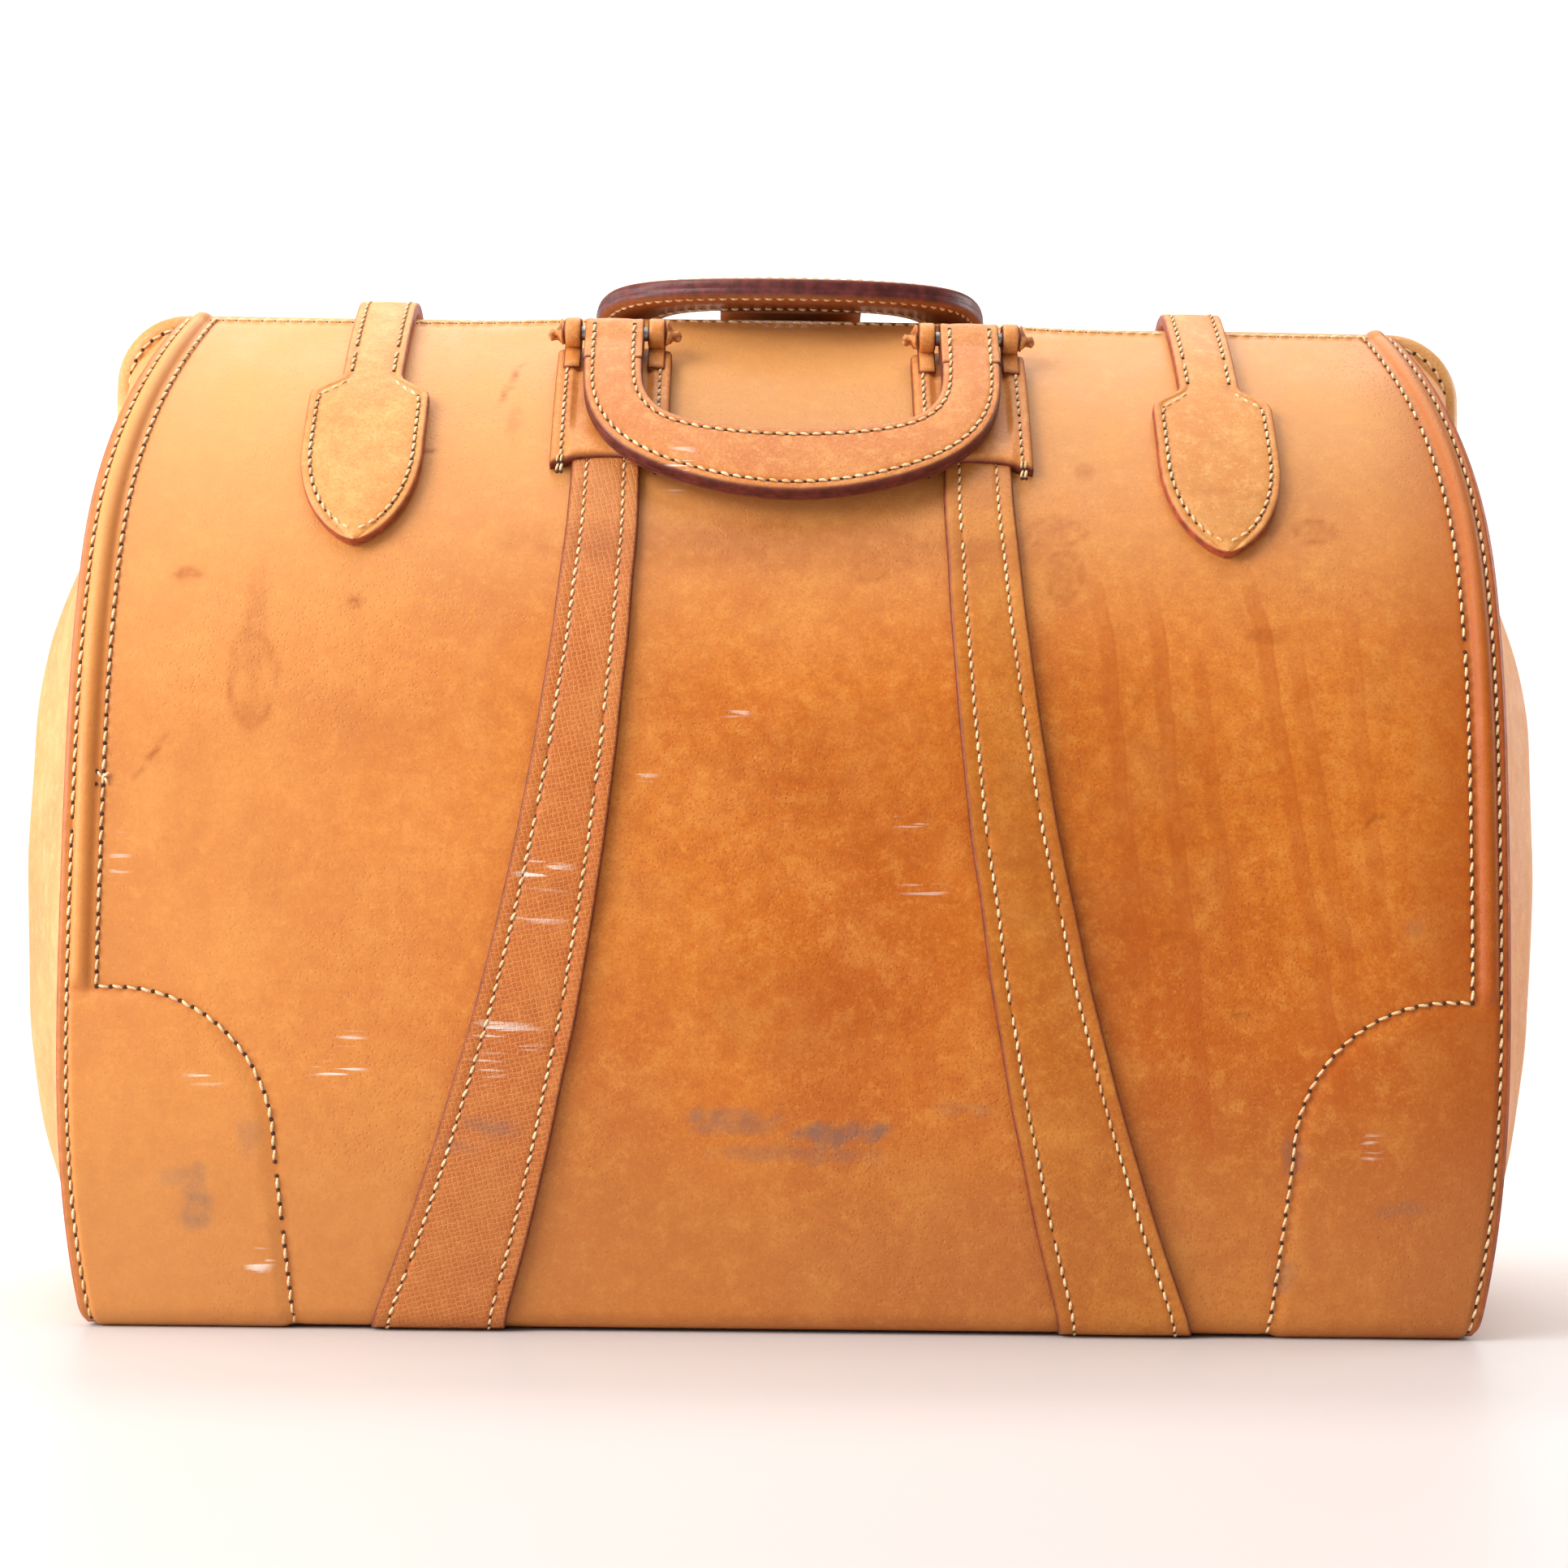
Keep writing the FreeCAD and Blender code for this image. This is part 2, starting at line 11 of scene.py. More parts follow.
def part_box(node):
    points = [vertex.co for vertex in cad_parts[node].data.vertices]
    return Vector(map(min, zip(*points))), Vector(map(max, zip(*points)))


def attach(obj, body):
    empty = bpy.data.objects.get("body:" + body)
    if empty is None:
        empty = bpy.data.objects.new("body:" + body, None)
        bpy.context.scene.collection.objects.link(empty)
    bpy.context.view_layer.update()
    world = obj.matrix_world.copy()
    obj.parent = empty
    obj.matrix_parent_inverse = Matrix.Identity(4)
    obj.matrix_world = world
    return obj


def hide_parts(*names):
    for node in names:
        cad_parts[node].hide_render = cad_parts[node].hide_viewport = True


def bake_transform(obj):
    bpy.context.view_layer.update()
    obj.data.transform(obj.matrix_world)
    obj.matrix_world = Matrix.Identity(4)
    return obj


# A vintage leather doctor bag. Lengths below are in millimetres; meshes are written in metres.
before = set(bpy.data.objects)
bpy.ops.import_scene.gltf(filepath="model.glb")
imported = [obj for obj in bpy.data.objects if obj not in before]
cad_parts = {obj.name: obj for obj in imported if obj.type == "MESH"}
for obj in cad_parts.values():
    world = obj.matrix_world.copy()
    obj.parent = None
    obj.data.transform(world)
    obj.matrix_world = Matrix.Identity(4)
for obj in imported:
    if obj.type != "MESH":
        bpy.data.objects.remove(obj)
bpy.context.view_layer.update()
MM = 0.001
FRONT, BACK = -1, 1
SIDE_NAMES = {FRONT: "front", BACK: "back"}
ENDS = {"left": -1, "right": 1}

# The side profile of a panel: corner, belly and shoulder arcs as (radius, centre y, centre z),
# and the angles of the outward normal where one arc gives way to the next.
BELLY_R, BELLY_Y, BELLY_Z = 866.0, 748.0, 98.5
CORNER_R, SHOULDER_R = 8.0, 227.0
TURN_LOW, TURN_HIGH = math.radians(-6), math.radians(7)
SHOULDER_Y = BELLY_Y - (BELLY_R - SHOULDER_R) * math.cos(TURN_HIGH)
SHOULDER_Z = BELLY_Z + (BELLY_R - SHOULDER_R) * math.sin(TURN_HIGH)
CORNER_Y = BELLY_Y - (BELLY_R - CORNER_R) * math.cos(TURN_LOW)
CORNER_Z = BELLY_Z + (BELLY_R - CORNER_R) * math.sin(TURN_LOW)
S_BELLY = CORNER_R * (TURN_LOW + math.pi / 2)
S_SHOULDER = S_BELLY + BELLY_R * (TURN_HIGH - TURN_LOW)
MOUTH_GAP = 10.8
TOP_ANGLE = math.acos((SHOULDER_Y + MOUTH_GAP) / SHOULDER_R)
S_TOP = S_SHOULDER + SHOULDER_R * (TOP_ANGLE - TURN_HIGH)

# Leather and stitching
PANEL_T = 3.4
BAND_T = 3.2
EDGE_ROW = 3.6
INNER_ROW = 13.6
PATCH_HALF, PATCH_HEIGHT, PATCH_CURVE = 166.0, 116.0, 54.0
PITCH_EDGE, PITCH_BAND, PITCH_HANDLE = 4.9, 4.1, 4.3
THREAD_R = 0.5

HANDLE_X = 65.2
BAR_ANGLE = math.radians(49)
STRAP_X = 153.0

# A strap, as angles of the front panel's outward normal: it is sewn down to the first, turns on the
# second when the mouth opens, and leaves the panel at the third.
STRAP_SEWN, STRAP_HINGE, STRAP_LEAVES = math.radians(48.3), math.radians(50), math.radians(56)

# A stitch: the corners of its thread's section, and the thread's thickness along it
STITCH_SIDES = 6
STITCH_CIRCLE = [(math.cos(2 * math.pi * k / STITCH_SIDES), math.sin(2 * math.pi * k / STITCH_SIDES))
                 for k in range(STITCH_SIDES)]
STITCH_PROFILE = [(0.0, 0.25), (0.12, 0.8), (0.35, 1.05), (0.65, 1.05), (0.88, 0.8), (1.0, 0.25)]


def centre_of(node):
    low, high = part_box(node)
    return (low + high) / 2 / MM


BAR = centre_of("front_handle_bar_left")


# ---------------------------------------------------------------- geometry helpers

def normal_angle(s):
    """The angle of the outward normal at an arc length from the panel's bottom edge."""
    s = np.asarray(s, float)
    corner = -math.pi / 2 + s / CORNER_R
    belly = TURN_LOW + (s - S_BELLY) / BELLY_R
    shoulder = TURN_HIGH + (s - S_SHOULDER) / SHOULDER_R
    return np.where(s < S_BELLY, corner, np.where(s < S_SHOULDER, belly, shoulder))


def place(side, x, s, h):
    """The point at (x, s) of a panel's outer face, h above it."""
    x, s, h = np.broadcast_arrays(np.asarray(x, float), np.asarray(s, float), np.asarray(h, float))
    a = normal_angle(s)
    low, mid = s < S_BELLY, s < S_SHOULDER
    r = np.where(low, CORNER_R, np.where(mid, BELLY_R, SHOULDER_R)) + h
    cy = np.where(low, CORNER_Y, np.where(mid, BELLY_Y, SHOULDER_Y))
    cz = np.where(low, CORNER_Z, np.where(mid, BELLY_Z, SHOULDER_Z))
    return np.stack([x, side * (r * np.cos(a) - cy), cz + r * np.sin(a)], -1)


def arc_at(z):
    """The arc length at a height of the panel's outer face."""
    z = np.asarray(z, float)
    low = S_BELLY + CORNER_R * (np.arcsin(np.clip((z - CORNER_Z) / CORNER_R, -1, 1)) - TURN_LOW)
    mid = S_BELLY + BELLY_R * (np.arcsin(np.clip((z - BELLY_Z) / BELLY_R, -1, 1)) - TURN_LOW)
    top = S_SHOULDER + SHOULDER_R * (np.arcsin(np.clip((z - SHOULDER_Z) / SHOULDER_R, -1, 1)) - TURN_HIGH)
    z_low = BELLY_Z + BELLY_R * math.sin(TURN_LOW)
    z_mid = BELLY_Z + BELLY_R * math.sin(TURN_HIGH)
    return np.where(z < z_low, low, np.where(z < z_mid, mid, top))


def arc_at_angle(angle):
    """The arc length where the shoulder's outward normal has an angle."""
    return S_SHOULDER + SHOULDER_R * (angle - TURN_HIGH)


def height_at(s):
    return place(FRONT, 0, s, 0)[..., 2]


def half_width(z):
    """The panel's half width at a height, as in its front view."""
    z = np.asarray(z, float)
    lower = 9.7 * np.clip((130 - z) / 130, 0, 1) ** 3
    upper = 17.5 * np.clip((z - 262) / 104, 0, 1) ** 2.24
    return 248 - lower - upper


def smooth(a, b, v):
    t = np.clip((np.asarray(v, float) - a) / (b - a), 0, 1)
    return t * t * (3 - 2 * t)


def ripple(points, scale, seed):
    """Smooth noise at points given in millimetres."""
    shift = Vector((seed * 7.3, seed * 3.1, seed * 5.7))
    values = [noise.noise(Vector(p) * scale + shift) for p in points.reshape(-1, 3)]
    return np.array(values).reshape(points.shape[:-1])


# Dark stain marks, and a painted shadow under the handle, as (x, z, half width, half height, strength)
STAINS_AND_SHADOW = [
    (-210, 259, 6, 2.5, 0.9), (-151, 250, 3, 2.5, 0.8), (-185, 240, 5, 26, 0.35), (-185, 211, 6, 5, 0.35),
    (93, 279, 7, 4, 0.5), (95, 262, 5, 8, 0.5), (105, 303, 4, 3.5, 0.5), (28, 266, 5, 5, 0.3),
    (167, 242, 9, 3, 0.45), (186, 281, 5, 3, 0.4), (142, 299, 11, 8, 0.3), (158, 286, 9, 6, 0.35),
    # (0, 272, 95, 10, 0.45) is no stain: it is the painted shadow under the handle
    (98, 222, 3.5, 4, 0.4), (150, 314, 7, 4, 0.3), (0, 272, 95, 10, 0.45), (-100, 318, 3, 8, 0.3),
    (204, 225, 6, 16, 0.3), (-205, 180, 10, 30, 0.15), (-60, 150, 30, 7, 0.2), (40, 190, 60, 30, 0.35),
    (110, 175, 45, 60, 0.45), (0, 110, 40, 20, 0.3),
]
# The dark rims of dried drops, as (x, z, half width, half height)
RINGS = [
    (-185, 222, 7, 16), (93, 279, 9, 5), (95, 262, 6, 9), (186, 281, 7, 4),
    (158, 286, 13, 9), (28, 266, 6, 6),
]
# Grey rubbed marks, as (x, z, half width, half height, strength)
SMUDGES = [
    (18, 69, 16, 3.5, 0.9), (-18, 73, 18, 4, 0.55), (4, 62, 28, 3, 0.4), (-104, 71, 8, 4, 0.7),
    (-110, 64, 6, 3, 0.4), (-200, 45, 5, 10, 0.6), (-205, 53, 8, 4, 0.35), (174, 64, 3.5, 9, 0.6),
    (171, 22, 4, 7, 0.45), (212, 45, 9, 3, 0.35), (-182, 66, 4, 8, 0.3), (60, 78, 12, 2.5, 0.25),
    (215, 142, 3, 4, 0.3),
]
# Places with pale scratches, as (x, z, half width, half height, strength)
SCUFFS = [
    (-84, 156, 8, 5, 1), (-86, 143, 7, 4, 0.9), (-97, 101, 9, 6, 1), (-102, 90, 6, 4, 0.8),
    (-193, 87, 10, 3, 1), (-152, 88, 9, 3, 1), (-148, 99, 5, 3, 0.7), (-178, 24, 5, 4, 1),
    (42, 176, 5, 3, 0.6), (-18, 213, 4, 3, 0.5), (200, 66, 3, 5, 0.5), (-41, 299, 7, 6, 1),
    (-228, 160, 3, 8, 0.5), (47, 152, 8, 4, 0.4), (-50, 190, 5, 3, 0.4),
]
# Fine dark lines, as (x, z, half width, half height, lean)
CRACKS = [
    (-103, 336, 1.6, 13, 0.35), (-219, 194, 1.4, 11, 0.65), (-130, 307, 6, 1.4, -0.3),
    (130, 138, 9, 0.9, 0.1), (150, 110, 24, 0.8, -0.25), (200, 178, 9, 0.8, -0.35),
]
# Water runs down the right of the front, in metres: x and z of the top, lean, z of the foot, strength
DRIPS = [
    (0.107, 0.272, 0.11, 0.105, 1.0), (0.126, 0.266, 0.10, 0.060, 1.0), (0.141, 0.246, 0.12, 0.118, 0.7),
    (0.160, 0.272, 0.17, 0.074, 1.0), (0.174, 0.252, 0.16, 0.096, 0.8), (0.117, 0.210, 0.04, 0.120, 0.6),
    (0.194, 0.262, 0.10, 0.130, 0.7), (0.096, 0.214, 0.05, 0.184, 0.6),
]


def marks(points, table, ragged):
    """How strongly each point is covered by a table of ragged oval marks."""
    wander = ripple(points, 0.16, 31) * ragged
    cover = np.zeros(len(points))
    for x, z, rx, rz, strength in table:
        d = np.hypot((points[:, 0] - x) / rx, (points[:, 2] - z) / rz) + wander
        cover = np.maximum(cover, strength * (1 - smooth(0.55, 1.25, d)))
    return cover


def weathering_and_shadow(points):
    """Marks on the leather, with the painted shadow under the handle among the stain marks; the back carries
    them the other way round.
    """
    points = points.copy()
    points[:, 0] *= np.where(points[:, 1] > 0, -1, 1)
    stain_and_shadow = marks(points, STAINS_AND_SHADOW, 0.35)
    for x, z, rx, rz in RINGS:
        d = np.hypot((points[:, 0] - x) / rx, (points[:, 2] - z) / rz) + ripple(points, 0.1, 5) * 0.3
        stain_and_shadow = np.maximum(stain_and_shadow, 0.6 * np.exp(-((d - 1) / 0.16) ** 2))
    for x, z, rx, rz, lean in CRACKS:
        across, along = points[:, 0] - x, points[:, 2] - z
        if rz > rx:
            across = across - lean * along + ripple(points, 0.3, 8) * 1.2
        else:
            along = along + lean * across + ripple(points, 0.3, 8) * 1.0
        stain_and_shadow = np.maximum(stain_and_shadow, 1 - smooth(0.3, 1.0, np.hypot(across / rx, along / rz)))
    return {"stain_and_shadow": stain_and_shadow, "smudge": marks(points, SMUDGES, 0.7), "scuff": marks(points, SCUFFS, 0.3)}


def mesh_object(name, verts, faces, materials, attributes=None, face_materials=None):
    """A closed smooth mesh from millimetre points, with named point attributes."""
    mesh = bpy.data.meshes.new(name)
    verts = np.asarray(verts, float).reshape(-1, 3)
    mesh.from_pydata((verts * MM).tolist(), [], faces)
    for material in materials:
        mesh.materials.append(material)
    attributes = dict(attributes or {})
    if face_materials is None:
        attributes.update(weathering_and_shadow(verts))
    for key, values in attributes.items():
        layer = mesh.attributes.new(key, "FLOAT", "POINT")
        layer.data.foreach_set("value", np.asarray(values, np.float32).ravel())
    if face_materials is not None:
        mesh.polygons.foreach_set("material_index", face_materials)
    bm = bmesh.new()
    bm.from_mesh(mesh)
    bmesh.ops.recalc_face_normals(bm, faces=bm.faces)
    bm.to_mesh(mesh)
    bm.free()
    mesh.polygons.foreach_set("use_smooth", [True] * len(mesh.polygons))
    piece = bpy.data.objects.new(name, mesh)
    bpy.context.scene.collection.objects.link(piece)
    return piece


def grid_faces(rows, cols, closed=False):
    faces = []
    span = cols if closed else cols - 1
    for i in range(rows - 1):
        for j in range(span):
            k = (j + 1) % cols
            faces.append((i * cols + j, i * cols + k, (i + 1) * cols + k, (i + 1) * cols + j))
    return faces


def slab(name, top, bottom, materials, attributes):
    """A thick sheet between two grids of points; attributes are given for the top grid."""
    rows, cols = top.shape[:2]
    count = rows * cols
    faces = grid_faces(rows, cols)
    faces += [tuple(i + count for i in reversed(face)) for face in grid_faces(rows, cols)]
    rim = list(range(cols))
    rim += [i * cols + cols - 1 for i in range(1, rows)]
    rim += [(rows - 1) * cols + j for j in range(cols - 2, -1, -1)]
    rim += [i * cols for i in range(rows - 2, 0, -1)]
    for a, b in zip(rim, rim[1:] + rim[:1]):
        faces.append((b, a, a + count, b + count))
    verts = np.concatenate([top.reshape(-1, 3), bottom.reshape(-1, 3)])
    both = {key: np.concatenate([np.ravel(v), np.ravel(v)]) for key, v in attributes.items()}
    return mesh_object(name, verts, faces, materials, both)


def tube_mesh(name, rings, materials, attributes):
    """A closed solid through rings of points, with flat ends."""
    rows, cols = rings.shape[:2]
    faces = grid_faces(rows, cols, closed=True)
    faces += [tuple(range(cols - 1, -1, -1)), tuple((rows - 1) * cols + j for j in range(cols))]
    return mesh_object(name, rings, faces, materials, attributes)


def ribbon(name, left, right, put, thickness, materials,
           row=3.4, groove=0.35, base=0.05, crown=0.0, taper=None):
    """A leather strip between two edges of pattern points (x, s), laid on a surface by put.
    Its section has rounded, burnished edges with a line between its layers, and a groove
    for each row of stitches."""
    left, right = np.asarray(left, float), np.asarray(right, float)
    t = thickness
    edge_line = [(0.5, 0.0, 0.6), (0.05, 0.22, 1), (0.0, 0.44, 1), (0.25, 0.5, 1), (0.0, 0.56, 1),
                 (0.05, 0.78, 1), (0.3, 0.93, 0.95), (0.75, 1.0, 0.5), (1.15, 1.0, 0.1)]
    top_line = [(1.5, 0), (row - 0.9, 0.1), (row - 0.45, 0.7), (row, 1), (row + 0.45, 0.7), (row + 1.0, 0.1),
                (row + 2.2, 0)]
    rings, edge, cut = [], [], []
    for i, (a, b) in enumerate(zip(left, right)):
        width = max(np.linalg.norm(b - a), 0.4)
        squeeze = min(1.0, width / 2 / (row + 3.0))
        share = 1.0 if taper is None else taper[i]
        half = [(d * squeeze, h * t, e, 0) for d, h, e in edge_line]
        half += [(d * squeeze, t - groove * g + crown * (1 - (1 - 2 * d * squeeze / width) ** 2), 0, g)
                 for d, g in top_line]
        section = half + [(width / 2, t + crown, 0, 0)]
        section += [(width - d, h, e, g) for d, h, e, g in reversed(half)]
        f = np.array([d / width for d, _, _, _ in section])
        flat = a + (b - a) * f[:, None]
        h = base + np.array([h for _, h, _, _ in section]) * share
        rings.append(put(flat[:, 0], flat[:, 1], h))
        edge.append([e for _, _, e, _ in section])
        cut.append([g for _, _, _, g in section])
    edge = np.array(edge, float)
    edge[0] = np.maximum(edge[0], 0.7)
    edge[-1] = np.maximum(edge[-1], 0.7)
    return tube_mesh(name, np.array(rings), materials, {"edge": edge, "groove": np.array(cut, float)})


def inset_line(points, distance):
    """A 2D line moved to its left by distance."""
    points = np.asarray(points, float)
    step = np.gradient(points, axis=0)
    step /= np.linalg.norm(step, axis=1)[:, None] + 1e-9
    return points + np.stack([-step[:, 1], step[:, 0]], 1) * distance


def resample(surface, above, pitch):
    """Points along a line at equal steps near pitch, and the way up from the surface at each."""
    seg = np.linalg.norm(np.diff(surface, axis=0), axis=1)
    along = np.concatenate([[0], np.cumsum(seg)])
    count = max(2, int(round(along[-1] / pitch)))
    at = np.linspace(0, along[-1], count + 1)
    points = np.stack([np.interp(at, along, surface[:, k]) for k in range(3)], 1)
    up = np.stack([np.interp(at, along, (above - surface)[:, k]) for k in range(3)], 1)
    return points, up / (np.linalg.norm(up, axis=1)[:, None] + 1e-9)


def add_hole(verts, faces, at, t, b, n):
    """A needle hole as painted shade: a low dark cone standing for the shadow inside the hole."""
    hole = len(verts)
    for dx, dy in STITCH_CIRCLE:
        verts.append(at + (t * dx * 0.75 + b * dy * 0.80) + n * 0.05)
    verts.append(at + n * 0.20)
    for k in range(STITCH_SIDES):
        faces.append((hole + k, hole + (k + 1) % STITCH_SIDES, hole + STITCH_SIDES))
    faces.append(tuple(hole + k for k in range(STITCH_SIDES - 1, -1, -1)))


def add_thread(verts, faces, at, t, b, n, length, rng):
    """One stitch of thread, a little slanted and humped over the leather."""
    start = len(verts)
    slant = rng.uniform(0.15, 0.42)
    fat = THREAD_R * rng.uniform(0.85, 1.12)
    for f, thick in STITCH_PROFILE:
        centre = at + t * length * (0.13 + 0.74 * f) + b * slant * (f - 0.5) * 2
        centre = centre + n * (0.12 + 0.42 * math.sin(math.pi * f))
        for dx, dy in STITCH_CIRCLE:
            verts.append(centre + (b * dx + n * dy) * fat * thick)
    for face in grid_faces(len(STITCH_PROFILE), STITCH_SIDES, closed=True):
        faces.append(tuple(start + i for i in face))
    last = start + (len(STITCH_PROFILE) - 1) * STITCH_SIDES
    faces.append(tuple(start + k for k in range(STITCH_SIDES - 1, -1, -1)))
    faces.append(tuple(last + k for k in range(STITCH_SIDES)))


def stitches(name, rows, body, seed, loss=0.012):
    """Thread, and needle holes as dark cones of painted shade, along rows of (surface points, points above
    them, pitch).
    """
    rng = random.Random(seed)
    verts, faces, kinds = [], [], []
    for surface, above, pitch in rows:
        base, up = resample(np.asarray(surface, float), np.asarray(above, float), pitch)
        for at, ahead, n in zip(base, base[1:], up):
            run = ahead - at
            length = np.linalg.norm(run)
            if length < 0.5:
                continue
            t = run / length
            b = np.cross(t, n)
            b /= np.linalg.norm(b) + 1e-9
            add_hole(verts, faces, at, t, b, n)
            kinds += [1] * (len(faces) - len(kinds))
            if rng.random() >= loss:
                add_thread(verts, faces, at, t, b, n, length, rng)
                kinds += [0] * (len(faces) - len(kinds))
    piece = mesh_object(name, np.array(verts), faces, [THREAD, HOLE_SHADE], face_materials=kinds)
    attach(piece, body)


def surface_row(side, x, s, h, pitch):
    return place(side, x, s, h), place(side, x, s, np.asarray(h) + 1.0), pitch


# ---------------------------------------------------------------- materials

def node(tree, kind, inputs=None, **settings):
    made = tree.nodes.new(kind)
    for key, value in settings.items():
        setattr(made, key, value)
    for key, value in (inputs or {}).items():
        socket = made.inputs[key]
        if isinstance(value, bpy.types.NodeSocket):
            tree.links.new(value, socket)
        else:
            socket.default_value = value
    return made


def math_node(tree, operation, *values):
    made = node(tree, "ShaderNodeMath", dict(enumerate(values)), operation=operation)
    return made.outputs[0]


def noise_tex(tree, vector, scale, detail=4.0, roughness=0.55, distortion=0.0):
    made = node(tree, "ShaderNodeTexNoise",
                {"Vector": vector, "Scale": scale, "Detail": detail, "Roughness": roughness,
                 "Distortion": distortion})
    return made.outputs["Fac"]


def ramp(tree, value, low, high, out_low=0.0, out_high=1.0):
    made = node(tree, "ShaderNodeMapRange",
                {"Value": value, "From Min": low, "From Max": high, "To Min": out_low, "To Max": out_high},
                interpolation_type="SMOOTHSTEP")
    return made.outputs["Result"]


def tint(tree, factor, first, second):
    made = node(tree, "ShaderNodeMix", data_type="RGBA")
    for index, value in ((0, factor), (6, first), (7, second)):
        socket = made.inputs[index]
        if isinstance(value, bpy.types.NodeSocket):
            tree.links.new(value, socket)
        elif index == 0:
            socket.default_value = value
        else:
            socket.default_value = (*value, 1.0)
    return made.outputs[2]


def times(tree, first, second):
    return math_node(tree, "MULTIPLY", first, second)


def attribute(tree, name):
    return node(tree, "ShaderNodeAttribute", attribute_name=name).outputs["Fac"]


def bands(tree, vector, direction, **inputs):
    made = node(tree, "ShaderNodeTexWave", {"Vector": vector, **inputs},
                wave_type="BANDS", bands_direction=direction)
    return made.outputs["Fac"]


def stretched(tree, vector, scale):
    return node(tree, "ShaderNodeMapping", {"Vector": vector, "Scale": scale}).outputs["Vector"]


def connect(tree, shader, colour, height, strength, distance):
    """Connects a colour and a bump to a shader."""
    relief = node(tree, "ShaderNodeBump", {"Height": height, "Strength": strength, "Distance": distance})
    tree.links.new(colour, shader.inputs["Base Color"])
    tree.links.new(relief.outputs["Normal"], shader.inputs["Normal"])


def new_material(name):
    material = bpy.data.materials.new(name)
    material.use_nodes = True
    tree = material.node_tree
    shader = tree.nodes["Principled BSDF"]
    coords = node(tree, "ShaderNodeTexCoord").outputs["Object"]
    return material, tree, shader, coords


def cross_grain(tree, coords):
    """A net of fine crossed lines pressed into the leather."""
    turned = node(tree, "ShaderNodeMapping", {"Vector": coords, "Rotation": (0, math.radians(14), 0)})
    settings = {"Scale": 190.0, "Distortion": 3.2, "Detail": 2.0, "Detail Scale": 2.0}
    waves = [bands(tree, turned.outputs["Vector"], direction, **settings) for direction in ("X", "Z")]
    return ramp(tree, math_node(tree, "MAXIMUM", *waves), 0.72, 1.0)


def painted_light_zones(tree, split, colour, dark, amount):
    """Painted light and shade: a paler painted sheen at the top, paler painted key light on the left and
    darker painted shade at the right edge; browner near the ground.
    """
    zones = (
        (ramp(tree, split["Z"], 0.20, 0.345), 0.62, (0.74, 0.385, 0.135)),
        (ramp(tree, split["X"], 0.02, -0.24), 0.50, (0.74, 0.330, 0.100)),
        (ramp(tree, split["X"], 0.200, 0.248, 0.0, 0.72), 1.0, tuple(c * 0.8 for c in dark)),
        (ramp(tree, split["Z"], 0.11, 0.02), 0.40, (0.50, 0.21, 0.06)),
    )
    for zone, share, tone in zones:
        colour = tint(tree, times(tree, zone, share * amount), colour, tone)
    return colour


def water_runs(tree, coords, split):
    """Where dried runs darken the front: a dark line on one side, and a paler inside."""
    wander = noise_tex(tree, stretched(tree, coords, (6.0, 6.0, 24.0)), 1.0, 3.0)
    wet = 0.0
    for x, top, lean, foot, strength in DRIPS:
        run = math_node(tree, "MULTIPLY_ADD", split["Z"], lean, split["X"])
        run = math_node(tree, "SUBTRACT", run, x + lean * top - 0.0035)
        run = math_node(tree, "MULTIPLY_ADD", wander, -0.007, run)
        line = ramp(tree, math_node(tree, "ABSOLUTE", run), 0.0002, 0.0012, 0.8 * strength, 0.0)
        inside = times(tree, ramp(tree, run, 0.0006, -0.0006), ramp(tree, run, -0.0062, -0.0040))
        line = math_node(tree, "MAXIMUM", line, times(tree, inside, 0.62 * strength))
        line = times(tree, line, ramp(tree, split["Z"], foot, foot + 0.012))
        line = times(tree, line, ramp(tree, split["Z"], top, top - 0.03))
        wet = math_node(tree, "MAXIMUM", line, wet)
    return times(tree, wet, ramp(tree, split["Y"], 0.001, -0.001))


def marked(tree, coords, colour, dark, wear):
    """Stain marks with the painted shadow under the handle, smudges, and pale scratches where the leather is
    scuffed.
    """
    stain_and_shadow_tone = tuple(c * 0.72 for c in dark)
    # The stain tone also paints the shadow under the handle.
    for key, tone in (("stain_and_shadow", stain_and_shadow_tone), ("smudge", (0.14, 0.110, 0.10))):
        speck = ramp(tree, noise_tex(tree, coords, 190.0, 4.0, 0.7), 0.30, 0.62, 0.35, 1.0)
        cover = times(tree, times(tree, attribute(tree, key), speck), 0.78)
        colour = tint(tree, cover, colour, tone)
    if wear:
        tilted = node(tree, "ShaderNodeMapping",
                      {"Vector": coords, "Rotation": (0.0, math.radians(14), 0.0), "Scale": (0.07, 1.0, 1.0)})
        scratch = noise_tex(tree, tilted.outputs["Vector"], 620.0, 2.0, 0.4)
        scratch = times(tree, ramp(tree, scratch, 0.57, 0.62), attribute(tree, "scuff"))
        colour = tint(tree, times(tree, scratch, 0.9 * wear), colour, (0.86, 0.72, 0.62))
    return colour


